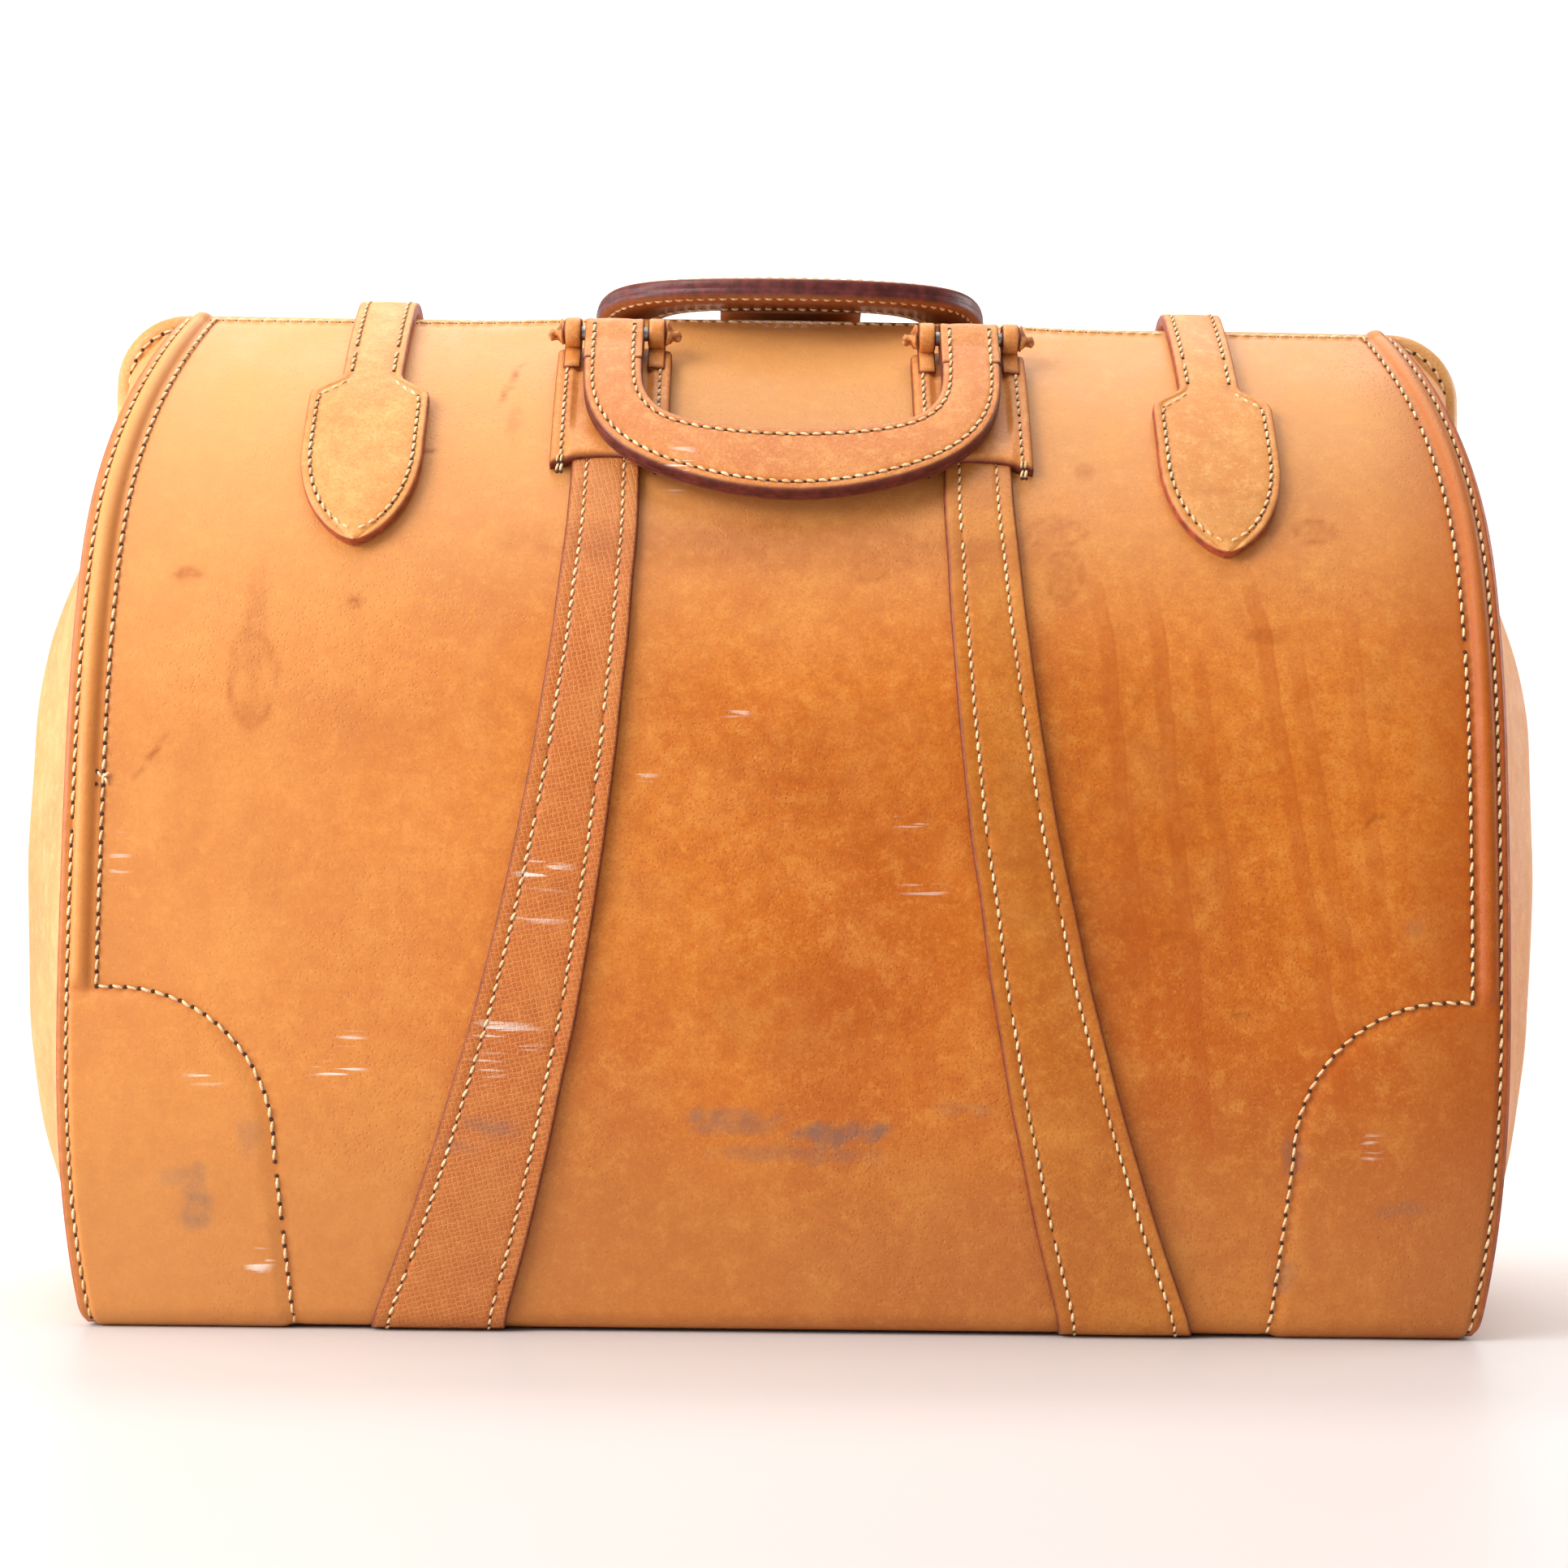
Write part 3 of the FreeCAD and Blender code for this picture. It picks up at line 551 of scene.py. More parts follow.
def leather(name, base, dark, light, edge=(0.11, 0.020, 0.010), cross=0.0, pores=1.0, light_zones=0.0, wear=0.5,
            rough=0.44, creases=0.0, drips=False, shine=0.30):
    """Vegetable-tanned leather: mottled colour, pores or cross grain, wear, burnished edges, stitch grooves
    darkened partly with painted shade, and optional zones of painted light and shade.
    """
    material, tree, shader, coords = new_material(name)
    wide = noise_tex(tree, coords, 7.0, 3.0, 0.55, 0.6)
    mid = noise_tex(tree, coords, 34.0, 6.0, 0.62, 0.3)
    fine = noise_tex(tree, coords, 420.0, 3.0, 0.6)
    grit = noise_tex(tree, coords, 1150.0, 2.0, 0.6)
    colour = tint(tree, ramp(tree, wide, 0.36, 0.66, 0.0, 0.72), base, dark)
    mottle = noise_tex(tree, coords, 150.0, 4.0, 0.7)
    colour = tint(tree, ramp(tree, mottle, 0.46, 0.66, 0.0, 0.45), colour, dark)
    colour = tint(tree, ramp(tree, mottle, 0.48, 0.34, 0.0, 0.35), colour, light)
    colour = tint(tree, ramp(tree, mid, 0.46, 0.74, 0.0, 0.42), colour, light)
    pore_cells = node(tree, "ShaderNodeTexVoronoi", {"Vector": coords, "Scale": 620.0, "Randomness": 0.9})
    pore = ramp(tree, pore_cells.outputs["Distance"], 0.10, 0.34, 1.0, 0.0)
    pore = times(tree, pore, ramp(tree, noise_tex(tree, coords, 11.0, 3.0), 0.42, 0.62))
    colour = tint(tree, times(tree, pore, 0.42 * pores), colour, dark)
    colour = tint(tree, ramp(tree, fine, 0.50, 0.78, 0.0, 0.32), colour, light)
    colour = tint(tree, ramp(tree, grit, 0.50, 0.30, 0.0, 0.55), colour, dark)
    colour = tint(tree, ramp(tree, grit, 0.56, 0.74, 0.0, 0.45), colour, light)
    grain = math_node(tree, "ADD", times(tree, pore, -0.7 * pores), times(tree, fine, 0.55))
    hairs = node(tree, "ShaderNodeTexVoronoi", {"Vector": coords, "Scale": 340.0, "Randomness": 1.0})
    hair = ramp(tree, hairs.outputs["Distance"], 0.06, 0.17, 1.0, 0.0)
    hair = times(tree, hair, ramp(tree, wide, 0.40, 0.60, 0.25, 1.0))
    colour = tint(tree, times(tree, hair, 0.55 * pores), colour, dark)
    grain = math_node(tree, "MULTIPLY_ADD", hair, -0.5 * pores, grain)
    if cross:
        net = cross_grain(tree, coords)
        colour = tint(tree, times(tree, net, 0.55 * cross), colour, light)
        grain = math_node(tree, "SUBTRACT", grain, times(tree, net, 0.8 * cross))
    split = node(tree, "ShaderNodeSeparateXYZ", {"Vector": coords}).outputs
    # Zones of painted light and shade: a sheen at the top, key light on the left, shade at the right edge.
    if light_zones:
        colour = painted_light_zones(tree, split, colour, dark, light_zones)
    if drips:
        wet = times(tree, water_runs(tree, coords, split), 0.62)
        colour = tint(tree, wet, colour, (0.44, 0.085, 0.005))
    colour = marked(tree, coords, colour, dark, wear)
    # Darker in the stitch grooves and creases: partly the pressed leather's own tone, partly painted shade in
    # these recesses.
    colour = tint(tree, times(tree, attribute(tree, "groove"), 0.38), colour, dark)
    rim_noise = ramp(tree, noise_tex(tree, coords, 260.0, 3.0), 0.3, 0.7)
    rim_colour = tint(tree, rim_noise, edge, tuple(min(1.0, c * 2.1) for c in edge))
    colour = tint(tree, attribute(tree, "edge"), colour, rim_colour)
    gloss = ramp(tree, mid, 0.3, 0.7, rough - 0.07, rough + 0.11)
    tree.links.new(gloss, shader.inputs["Roughness"])
    shader.inputs["Specular IOR Level"].default_value = shine
    shader.inputs["Coat Weight"].default_value = 0.06
    shader.inputs["Coat Roughness"].default_value = 0.35
    height = times(tree, grain, 0.35)
    if creases:
        fold = noise_tex(tree, stretched(tree, coords, (1.0, 1.0, 0.22)), 75.0, 4.0, 0.6, 0.8)
        height = math_node(tree, "ADD", height, times(tree, fold, 2.2 * creases))
    height = math_node(tree, "ADD", height, times(tree, mid, 0.35))
    connect(tree, shader, colour, height, 0.55, 0.0009)
    return material


def thread_material():
    material, tree, shader, coords = new_material("waxed_thread")
    twist = bands(tree, coords, "DIAGONAL", Scale=420.0, Distortion=1.5)
    dirt = noise_tex(tree, coords, 60.0, 3.0)
    colour = tint(tree, ramp(tree, dirt, 0.35, 0.72), (0.95, 0.76, 0.46), (0.74, 0.46, 0.20))
    colour = tint(tree, times(tree, twist, 0.35), colour, (0.46, 0.25, 0.10))
    shader.inputs["Roughness"].default_value = 0.62
    connect(tree, shader, colour, twist, 0.6, 0.0002)
    return material


# The needle holes' colour is painted shade: the dark inside of each hole.
def hole_shade_material():
    material, tree, shader, coords = new_material("needle_hole_shade")
    uneven = ramp(tree, noise_tex(tree, coords, 300.0), 0.3, 0.7)
    colour = tint(tree, uneven, (0.045, 0.014, 0.006), (0.09, 0.03, 0.012))
    tree.links.new(colour, shader.inputs["Base Color"])
    shader.inputs["Roughness"].default_value = 0.9
    return material


def metal(name, base, dark, rough):
    material, tree, shader, coords = new_material(name)
    tarnish = ramp(tree, noise_tex(tree, coords, 90.0, 6.0, 0.65), 0.38, 0.7)
    shader.inputs["Metallic"].default_value = 1.0
    tree.links.new(ramp(tree, tarnish, 0.0, 1.0, rough, rough + 0.22), shader.inputs["Roughness"])
    brushed = noise_tex(tree, stretched(tree, coords, (0.1, 1.0, 1.0)), 1500.0, 2.0)
    connect(tree, shader, tint(tree, tarnish, base, dark), brushed, 0.15, 0.0002)
    return material


def cloth(name, base, dark):
    material, tree, shader, coords = new_material(name)
    weave = [bands(tree, coords, direction, Scale=260.0, Distortion=0.6) for direction in ("X", "Z")]
    cells = math_node(tree, "MULTIPLY", *weave)
    mottle = ramp(tree, noise_tex(tree, coords, 22.0, 5.0), 0.35, 0.7)
    colour = tint(tree, mottle, base, dark)
    colour = tint(tree, times(tree, cells, 0.3), colour, dark)
    shader.inputs["Roughness"].default_value = 0.85
    connect(tree, shader, colour, cells, 0.4, 0.0004)
    return material


# stains= sets the strength of the zones of painted light and shade, not of the stain marks.
PANEL = leather("panel_leather", (0.60, 0.165, 0.012), (0.43, 0.082, 0.003), (0.72, 0.290, 0.050),
                light_zones=1.0, wear=1.0, drips=True, shine=0.26, edge=(0.22, 0.042, 0.012))
BAND_RED = leather("band_cross_grain", (0.50, 0.118, 0.014), (0.38, 0.066, 0.007), (0.64, 0.235, 0.055),
                   cross=1.0, pores=0.3, wear=1.0, light_zones=0.4)
BAND_GOLD = leather("band_smooth", (0.55, 0.170, 0.013), (0.40, 0.090, 0.004), (0.66, 0.27, 0.04),
                    pores=0.8, wear=1.0, light_zones=0.5)
HANDLE = leather("handle_leather", (0.66, 0.250, 0.060), (0.50, 0.135, 0.022), (0.78, 0.40, 0.14),
                 pores=0.6, wear=1.0, edge=(0.075, 0.014, 0.012), rough=0.40)
STRAP = leather("strap_leather", (0.72, 0.33, 0.090), (0.56, 0.19, 0.034), (0.82, 0.45, 0.16),
                pores=0.7, wear=0.8, edge=(0.20, 0.04, 0.02))
CHAPE = leather("chape_leather", (0.72, 0.29, 0.075), (0.56, 0.17, 0.030), (0.84, 0.42, 0.15),
                pores=0.7, wear=0.8)
FRAME = leather("frame_leather", (0.70, 0.34, 0.10), (0.58, 0.22, 0.05), (0.80, 0.46, 0.20),
                pores=0.5, wear=0.4, edge=(0.40, 0.13, 0.08))
GUSSET = leather("gusset_leather", (0.72, 0.32, 0.105), (0.60, 0.21, 0.05), (0.82, 0.44, 0.19),
                 pores=0.4, wear=0.2, creases=1.0, rough=0.55)
WELT = leather("welt_leather", (0.42, 0.13, 0.035), (0.24, 0.055, 0.015), (0.60, 0.26, 0.10),
               pores=0.2, wear=0.0)
LAYERS = leather("edge_layers", (0.36, 0.10, 0.04), (0.16, 0.04, 0.02), (0.52, 0.20, 0.09),
                 pores=0.0, wear=0.0)
UNDER = leather("bottom_leather", (0.40, 0.15, 0.05), (0.24, 0.08, 0.03), (0.56, 0.27, 0.11), wear=1.0)
THREAD = thread_material()
HOLE_SHADE = hole_shade_material()
BRASS = metal("aged_brass", (0.78, 0.56, 0.24), (0.42, 0.27, 0.10), 0.26)
STEEL = metal("dull_steel", (0.50, 0.49, 0.47), (0.28, 0.25, 0.22), 0.36)
LINING = cloth("cotton_lining", (0.50, 0.40, 0.27), (0.36, 0.27, 0.17))
BOARD = cloth("fibre_board", (0.42, 0.31, 0.20), (0.30, 0.21, 0.13))


# ---------------------------------------------------------------- panels

def patch_lean(z):
    """The patch's upright border leans outwards with height."""
    return 7.5 * np.clip(np.asarray(z, float) / (PATCH_HEIGHT - PATCH_CURVE), 0, 1)


def patch_distance(x, z):
    """How far inside the corner patch's curved border a point is, in the front view."""
    x = np.abs(x) - patch_lean(z)
    cx, cz = PATCH_HALF + PATCH_CURVE, PATCH_HEIGHT - PATCH_CURVE
    in_corner = (x < cx) & (z > cz)
    round_part = PATCH_CURVE - np.hypot(x - cx, z - cz)
    side_part = x - PATCH_HALF
    top_part = PATCH_HEIGHT - z
    return np.where(in_corner, round_part, np.minimum(side_part, np.where(x >= cx, top_part, side_part)))


def panel_relief(x, z):
    """The height of a panel's face over its plain profile, and where it is grooved."""
    d = half_width(z) - np.abs(x)
    patch = patch_distance(x, z)
    above = smooth(-3, 4, -patch)
    roll = np.clip((d - EDGE_ROW - 0.6) / (INNER_ROW - 3.0 - EDGE_ROW), 0, 1)
    bead = 2.3 * np.sin(np.pi * roll) ** 0.8 * above
    inner_dip = -0.25 * np.exp(-((d - INNER_ROW) / 1.0) ** 2) * above
    outer_dip = -0.45 * np.exp(-((d - EDGE_ROW) / 0.8) ** 2)
    plateau = 0.9 * smooth(1.8, 4.2, patch) * smooth(EDGE_ROW, EDGE_ROW + 2.2, d)
    seam = -0.3 * np.exp(-(patch / 0.9) ** 2) * smooth(EDGE_ROW, EDGE_ROW + 3, d)
    rounded = -1.3 * (1 - smooth(0, 1.6, d))
    top = height_at(S_TOP) - z
    top_dip = -0.35 * np.exp(-((top - 3.6) / 1.1) ** 2) - 0.9 * (1 - smooth(0, 1.2, top))
    relief = bead + inner_dip + outer_dip + plateau + seam + rounded + top_dip
    groove = np.maximum.reduce([
        np.exp(-((d - EDGE_ROW) / 0.8) ** 2),
        np.exp(-((d - INNER_ROW) / 1.0) ** 2) * above,
        np.exp(-(patch / 1.0) ** 2) * smooth(EDGE_ROW, EDGE_ROW + 3, d),
        0.8 * np.exp(-((d - INNER_ROW + 3.0) / 1.2) ** 2) * above,
    ])
    edge = np.maximum(1 - smooth(0.0, 1.0, d), 0.62 * (1 - smooth(1.2, 2.9, d)))
    return relief, groove, edge


def top_rise(x, s):
    """The panel's top edge stands a little higher in the middle."""
    lift = 2.2 * np.exp(-(x / 105) ** 4) * smooth(S_TOP - 34, S_TOP, s)
    return np.stack([0 * lift, 0 * lift, lift], -1)


def make_panel(side):
    name = SIDE_NAMES[side]
    near = [0, 0.35, 0.8, 1.4, 2.0, 2.7, 3.1, 3.6, 4.1, 4.6, 5.4, 6.2, 7.2, 8.2, 9.2, 10.0, 10.7, 11.4,
            12.2, 12.9, 13.6, 14.3, 15.1, 16.2, 18.0]
    columns = int(2 * (248 - near[-1]) / 2.2)
    centre = np.linspace(-1, 1, columns)
    s = np.concatenate([np.linspace(0.4, S_BELLY, 10)[:-1], np.arange(S_BELLY, S_TOP - 6, 2.2),
                        S_TOP - np.array([5.4, 4.8, 4.2, 3.6, 3.0, 2.4, 1.6, 0.8, 0.3, 0.0])])
    z = height_at(s)
    width = half_width(z)[:, None]
    left = -(width - np.array(near)[None, :])
    middle = centre[None, 1:-1] * (width - near[-1])
    x = np.concatenate([left, middle, -left[:, ::-1]], 1)
    grid_s = np.repeat(s[:, None], x.shape[1], 1)
    grid_z = np.repeat(z[:, None], x.shape[1], 1)
    relief, groove, edge = panel_relief(x, grid_z)
    plain = place(side, x, grid_s, 0)
    sway = ripple(plain, 0.011, 3 + side) * 1.2 + ripple(plain, 0.035, 5 + side) * 0.35
    fade = smooth(0, 25, half_width(grid_z) - np.abs(x))
    fade = fade * smooth(0, 30, grid_s) * smooth(0, 20, S_TOP - grid_s)
    top = place(side, x, grid_s, relief + sway * fade * 0.6 - 0.35 * fade) + top_rise(x, grid_s)
    bottom = place(side, x, grid_s, -PANEL_T + 0.1) + top_rise(x, grid_s)
    edge = np.maximum(edge, 0.55 * (1 - smooth(0.3, 1.6, S_TOP - grid_s)))
    edge = np.maximum(edge, 0.5 * (1 - smooth(0.0, 4.0, grid_s)))
    panel = slab(name + "_panel_leather", top, bottom, [PANEL], {"edge": edge, "groove": groove})
    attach(panel, name)
    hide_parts(name + "_panel")
    rows = []
    s_run = np.arange(6, S_TOP - 1, 3.0)
    z_run = height_at(s_run)
    for end in (-1, 1):
        x_run = end * (half_width(z_run) - EDGE_ROW)
        rows.append(surface_row(side, x_run, s_run, -0.35, PITCH_EDGE))
        upper = s_run[z_run > PATCH_HEIGHT]
        x_up = end * (half_width(height_at(upper)) - INNER_ROW)
        rows.append(surface_row(side, x_up, upper, -0.1, PITCH_EDGE))
        corner = patch_border()
        corner_s = arc_at(corner[:, 1])
        rows.append(surface_row(side, end * corner[:, 0], corner_s, -0.15, PITCH_EDGE))
    top_half = half_width(height_at(S_TOP)) - 6
    x_top = np.linspace(-top_half, top_half, 120)
    s_top = np.full(120, S_TOP - 3.8)
    seam, above, pitch = surface_row(side, x_top, s_top, -0.25, PITCH_EDGE)
    rows.append((seam + top_rise(x_top, s_top), above + top_rise(x_top, s_top), pitch))
    knot_x = (half_width(187) - INNER_ROW) * -1
    for lean in (-2.2, 2.2):
        tie_s = arc_at(np.array([187 - lean, 187 + lean]))
        rows.append(surface_row(side, np.array([knot_x - 2.4, knot_x + 2.4]), tie_s, 0.3, 9))
    stitches(name + "_panel_stitches", rows, name, seed=11 + side)


def patch_border():
    """The corner patch's border, from the panel's inner row of stitches down to the bottom."""
    cx, cz = PATCH_HALF + PATCH_CURVE, PATCH_HEIGHT - PATCH_CURVE
    start = half_width(PATCH_HEIGHT) - INNER_ROW
    straight = [(x, PATCH_HEIGHT) for x in np.linspace(start, cx + patch_lean(PATCH_HEIGHT) + 0.5, 4)]
    angles = np.linspace(0, math.pi / 2, 20)
    turn = [(cx - PATCH_CURVE * math.sin(a), cz + PATCH_CURVE * math.cos(a)) for a in angles]
    down = [(PATCH_HALF, z) for z in np.linspace(cz - 3, 1.5, 16)]
    border = np.array(straight + turn + down)
    border[len(straight):, 0] += patch_lean(border[len(straight):, 1])
    return border


# ---------------------------------------------------------------- bands and chapes

def band_edges(z):
    """The inner and outer edges of a handle band at heights, for the right side."""
    def through(low, mid, high):
        return np.polyval(np.polyfit([0, 150, 300], [low, mid, high], 2), z)
    return through(95.0, 65.0, 53.8), through(141.0, 97.0, 78.3)


def make_band(side, end):
    name = SIDE_NAMES[side] + "_band_" + end
    sign = ENDS[end]
    s = np.concatenate([np.linspace(0.9, S_BELLY, 12)[:-1], np.linspace(S_BELLY, arc_at(305.0), 110)])
    z = height_at(s)
    inner, outer = band_edges(z)
    taper = 0.12 + 0.88 * smooth(0.0, 10.5, s)
    wobble = np.array([noise.noise(Vector((v * 0.03, sign * 9 + side * 4, 0))) for v in s]) * 0.7
    left = np.stack([sign * (inner + wobble), s], 1)
    right = np.stack([sign * (outer + wobble * 0.6), s], 1)
    kind = BAND_RED if sign * side > 0 else BAND_GOLD
    band = ribbon(name + "_leather", left, right, partial(place, side), BAND_T, [kind],
                  row=5.6, groove=0.4, base=0.0, crown=0.25, taper=taper)
    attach(band, SIDE_NAMES[side])
    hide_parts(name)
    rows = []
    run = s > 3
    for x in (inner + 5.6, outer - 5.6):
        face = (BAND_T - 0.3) * taper[run]
        rows.append(surface_row(side, sign * (x + wobble)[run], s[run], face, PITCH_BAND))
    stitches(name + "_stitches", rows, SIDE_NAMES[side], seed=31 + side + sign * 2, loss=0.03)


def make_chape(side, end):
    """The sewn patch, its raised double sides, and the two rolled ears that carry the bar."""
    name = SIDE_NAMES[side] + "_chape_" + end
    body = SIDE_NAMES[side]
    x0 = ENDS[end] * HANDLE_X
    half, low, high = 21.0, 300.0, 346.0
    cols = np.concatenate([[-half], np.linspace(-half + 0.6, half - 0.6, 40), [half]])
    rows_v = np.concatenate([[0, 0.02, 0.05], np.linspace(0.1, 0.94, 22), [0.97, 1.0]])
    low_edge = low + 2.6 * (1 - (cols / half) ** 2)
    top_edge = high + 3.0 * (1 - smooth(10, 21, np.abs(cols)))
    z = low_edge[None, :] + (top_edge - low_edge)[None, :] * rows_v[:, None]
    s = arc_at(z)
    x = x0 + np.repeat(cols[None, :], len(rows_v), 0)
    d_side = half - np.abs(cols)[None, :]
    d_low = z - low_edge[None, :]
    over_band = 2.6 * (1 - smooth(4, 20, z - low)) * (1 - smooth(13.0, 15.5, np.abs(cols)))[None, :]
    doubled = 1.5 * (1 - smooth(6.4, 7.6, d_side))
    rim = smooth(0, 0.8, d_side) * smooth(0, 0.9, d_low)
    dip = 0.4 * np.exp(-((d_side - 4.0) / 0.8) ** 2)
    h = (3.4 + doubled + over_band - dip) * (0.72 + 0.28 * rim)
    top = place(side, x, s, h)
    bottom = place(side, x, s, over_band * 0.6 + 0.1)
    edge = 1 - rim
    groove = np.exp(-((d_side - 4.0) / 0.8) ** 2) + 0 * z
    patch = slab(name + "_leather", top, bottom, [CHAPE], {"edge": edge, "groove": groove})
    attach(patch, body)
    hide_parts(name)
    stitch_rows = []
    for sign in (-1, 1):
        run = np.linspace(low + 2, high - 2, 30)
        row_x = np.full(30, x0 + sign * (half - 4.0))
        stitch_rows.append(surface_row(side, row_x, arc_at(run), 4.6, PITCH_BAND))
    for sign in (-1, 1):
        for step in (-0.7, 0.7):
            tie_s = arc_at(np.array([low - 3.4, low + 3.0]))
            tie_x = np.full(2, x0 + sign * (half - 3.6) + step)
            ends = place(side, tie_x, tie_s, np.array([0.6 + BAND_T, 4.9]))
            outwards = place(side, tie_x, tie_s, 1.0) - place(side, tie_x, tie_s, 0.0)
            stitch_rows.append((ends, ends + outwards, 9))
    stitches(name + "_stitches", stitch_rows, body, seed=51 + side)
    bar_y, bar_z = side * abs(BAR.y), BAR.z
    for which, (a, b) in {"inner": (12.2, 18.6), "outer": (-18.6, -12.2)}.items():
        make_ear(name + "_ear_" + which, side, x0 + a, x0 + b, bar_y, bar_z, body)
    for sign in (-1, 1):
        which = "inner" if sign > 0 else "outer"
        make_knot(f"{name}_knot_{which}", x0 + sign * 19.8, bar_y, bar_z, body, sign)


def make_ear(name, side, x_low, x_high, bar_y, bar_z, body):
    """A strip that climbs from the patch, rolls once round the bar and tucks under itself."""
    outer, thick = 6.3, 2.4
    start = -0.75 * math.pi
    line = []
    foot = place(side, 0, arc_at(338.0), 4.0)
    for f in np.linspace(0, 1, 6):
        angle = start - 0.25
        join = np.array([0, bar_y + side * math.cos(angle) * outer, bar_z + math.sin(angle) * outer])
        line.append(foot * (1 - f) + join * f)
    for angle in np.linspace(start, start - 1.85 * math.pi, 34)[1:]:
        shrink = outer - 1.1 * (angle - start) / (-1.85 * math.pi)
        line.append(np.array([0, bar_y + side * math.cos(angle) * shrink, bar_z + math.sin(angle) * shrink]))
    line = np.array(line)
    step = np.gradient(line, axis=0)
    step /= np.linalg.norm(step, axis=1)[:, None]
    inward = np.stack([np.zeros(len(line)), -step[:, 2], step[:, 1]], 1)
    centre = np.array([0, bar_y, bar_z])
    flip = np.sign(((centre - line) * inward).sum(1))
    inward *= flip[:, None]
    rings, edge = [], []
    section = [(0.04, 0.25), (0.0, 0.5), (0.04, 0.75), (0.12, 0.97), (0.3, 1.0), (0.7, 1.0), (0.88, 0.97),
               (0.96, 0.75), (1.0, 0.5), (0.96, 0.25), (0.88, 0.03), (0.5, 0.0), (0.12, 0.03)]
    for point, n in zip(line, inward):
        ring = []
        for f, depth in section:
            ring.append(point + np.array([x_low + (x_high - x_low) * f, 0, 0]) + n * thick * (1 - depth))
        rings.append(ring)
        edge.append([1.0 if f < 0.06 or f > 0.94 else 0.0 for f, _ in section])
    worn = {"edge": np.array(edge), "groove": np.zeros((len(line), len(section)))}
    ear = tube_mesh(name, np.array(rings), [CHAPE], worn)
    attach(ear, body)


def make_knot(name, x, bar_y, bar_z, body, outward):
    """A twisted leather thong end, knotted against the ear."""
    rng = random.Random(name)
    rings, edge = [], []
    length, count, around = 7.0, 14, 18
    for f in np.linspace(0, 1, count):
        bulge = 4.1 * math.exp(-((f - 0.25) / 0.24) ** 2) + 1.7 * math.exp(-((f - 0.8) / 0.3) ** 2) + 0.25
        bulge *= min(1.0, 0.5 + 6 * f, 0.3 + 7 * (1 - f))
        droop = -2.2 * max(0.0, f - 0.35) ** 1.5
        ring = []
        for k in range(around):
            a = 2 * math.pi * k / around
            twist = 1 + 0.24 * math.sin(3 * a + f * 9) + rng.uniform(-0.07, 0.07)
            ring.append((x + outward * (f * length - 2.2), bar_y + bulge * twist * math.cos(a),
                         bar_z + droop + bulge * twist * math.sin(a)))
        rings.append(ring)
        edge.append([0.15 + 0.6 * (math.sin(6 * math.pi * k / around + f * 9) < -0.4) for k in range(around)])
    worn = {"edge": np.array(edge), "groove": np.zeros((count, around))}
    knot = tube_mesh(name, np.array(rings), [CHAPE], worn)
    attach(knot, body)


# ---------------------------------------------------------------- handles

def handle_frame(side):
    """Maps a distance from the bar along the handle, and a height over it, to (y, z)."""
    if side == FRONT:
        radius = SHOULDER_R + 10.5

        def at(distance, h):
            a = BAR_ANGLE - np.asarray(distance, float) / radius
            r = radius + h
            return side * (r * np.cos(a) - SHOULDER_Y), SHOULDER_Z + r * np.sin(a)
        return at
    points = np.array([(abs(BAR.y), BAR.z), (4.0, 372.3), (-41.5, 374.0)])
    a, b, c = points
    m = np.array([b - a, c - a]) * 2
    rhs = np.array([b @ b - a @ a, c @ c - a @ a])
    centre = np.linalg.solve(m, rhs)
    radius = np.linalg.norm(a - centre)
    first = math.atan2(*(a - centre)[::-1])

    def at(distance, h):
        angle = first + np.asarray(distance, float) / radius
        r = radius + h
        return centre[0] + r * np.cos(angle), centre[1] + r * np.sin(angle)
    return at


def handle_edges():
    """The D's outer and inner edges as (x, distance from the bar), right end to left end."""
    def curve(points, samples):
        points = np.array(points, float)
        seg = np.linalg.norm(np.diff(points, axis=0), axis=1)
        along = np.concatenate([[0], np.cumsum(seg)])
        at = np.linspace(0, along[-1], samples)
        line = np.stack([np.interp(at, along, points[:, k]) for k in range(2)], 1)
        kernel = np.ones(9) / 9
        padded = np.concatenate([np.repeat(line[:1], 4, 0), line, np.repeat(line[-1:], 4, 0)])
        for _ in range(2):
            soft = np.stack([np.convolve(padded[:, k], kernel, "same") for k in range(2)], 1)
            padded[4:-4] = soft[4:-4]
        return padded[4:-4]

    outer_half = [(76.0, 4), (75.8, 22), (75.4, 38), (73.2, 48), (68.5, 58), (61, 66.5), (50, 73.5),
                  (38, 78.5), (20, 83.5), (0, 85.6)]
    inner_half = [(54.4, 4), (54.4, 20), (54.0, 34), (52.6, 40), (49.6, 45.5), (45, 49.5), (38, 52.6),
                  (28, 54.8), (14, 56.3), (0, 56.9)]
    edges = []
    for half in (outer_half, inner_half):
        edges.append(curve(half + [(-x, d) for x, d in reversed(half[:-1])], 150))
    return edges


def make_handle(side):
    name = SIDE_NAMES[side] + "_handle"
    at = handle_frame(side)

    def put(x, d, h):
        y, z = at(d, h)
        return np.stack([x + 0 * y, y, z], -1)

    outer, inner = handle_edges()
    thickness = 7.0
    flat = ribbon(name + "_grip", outer, inner, put, thickness, [HANDLE],
                  row=3.5, groove=0.45, base=-thickness / 2, crown=0.5)
    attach(flat, name)
    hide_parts(name + "_leather")
    rows = []
    span = slice(8, -8)
    for edge, other in ((outer, inner), (inner, outer)):
        across = other - edge
        across /= np.linalg.norm(across, axis=1)[:, None]
        row = (edge + across * 3.5)[span]
        for face in (1, -1):
            h = face * (thickness / 2 - 0.1)
            rows.append((put(row[:, 0], row[:, 1], h), put(row[:, 0], row[:, 1], h + face), PITCH_HANDLE))
    stitches(name + "_stitches", rows, name, seed=71 + side)
    for end, sign in ENDS.items():
        make_loop(f"{name}_loop_{end}", sign, at, name)


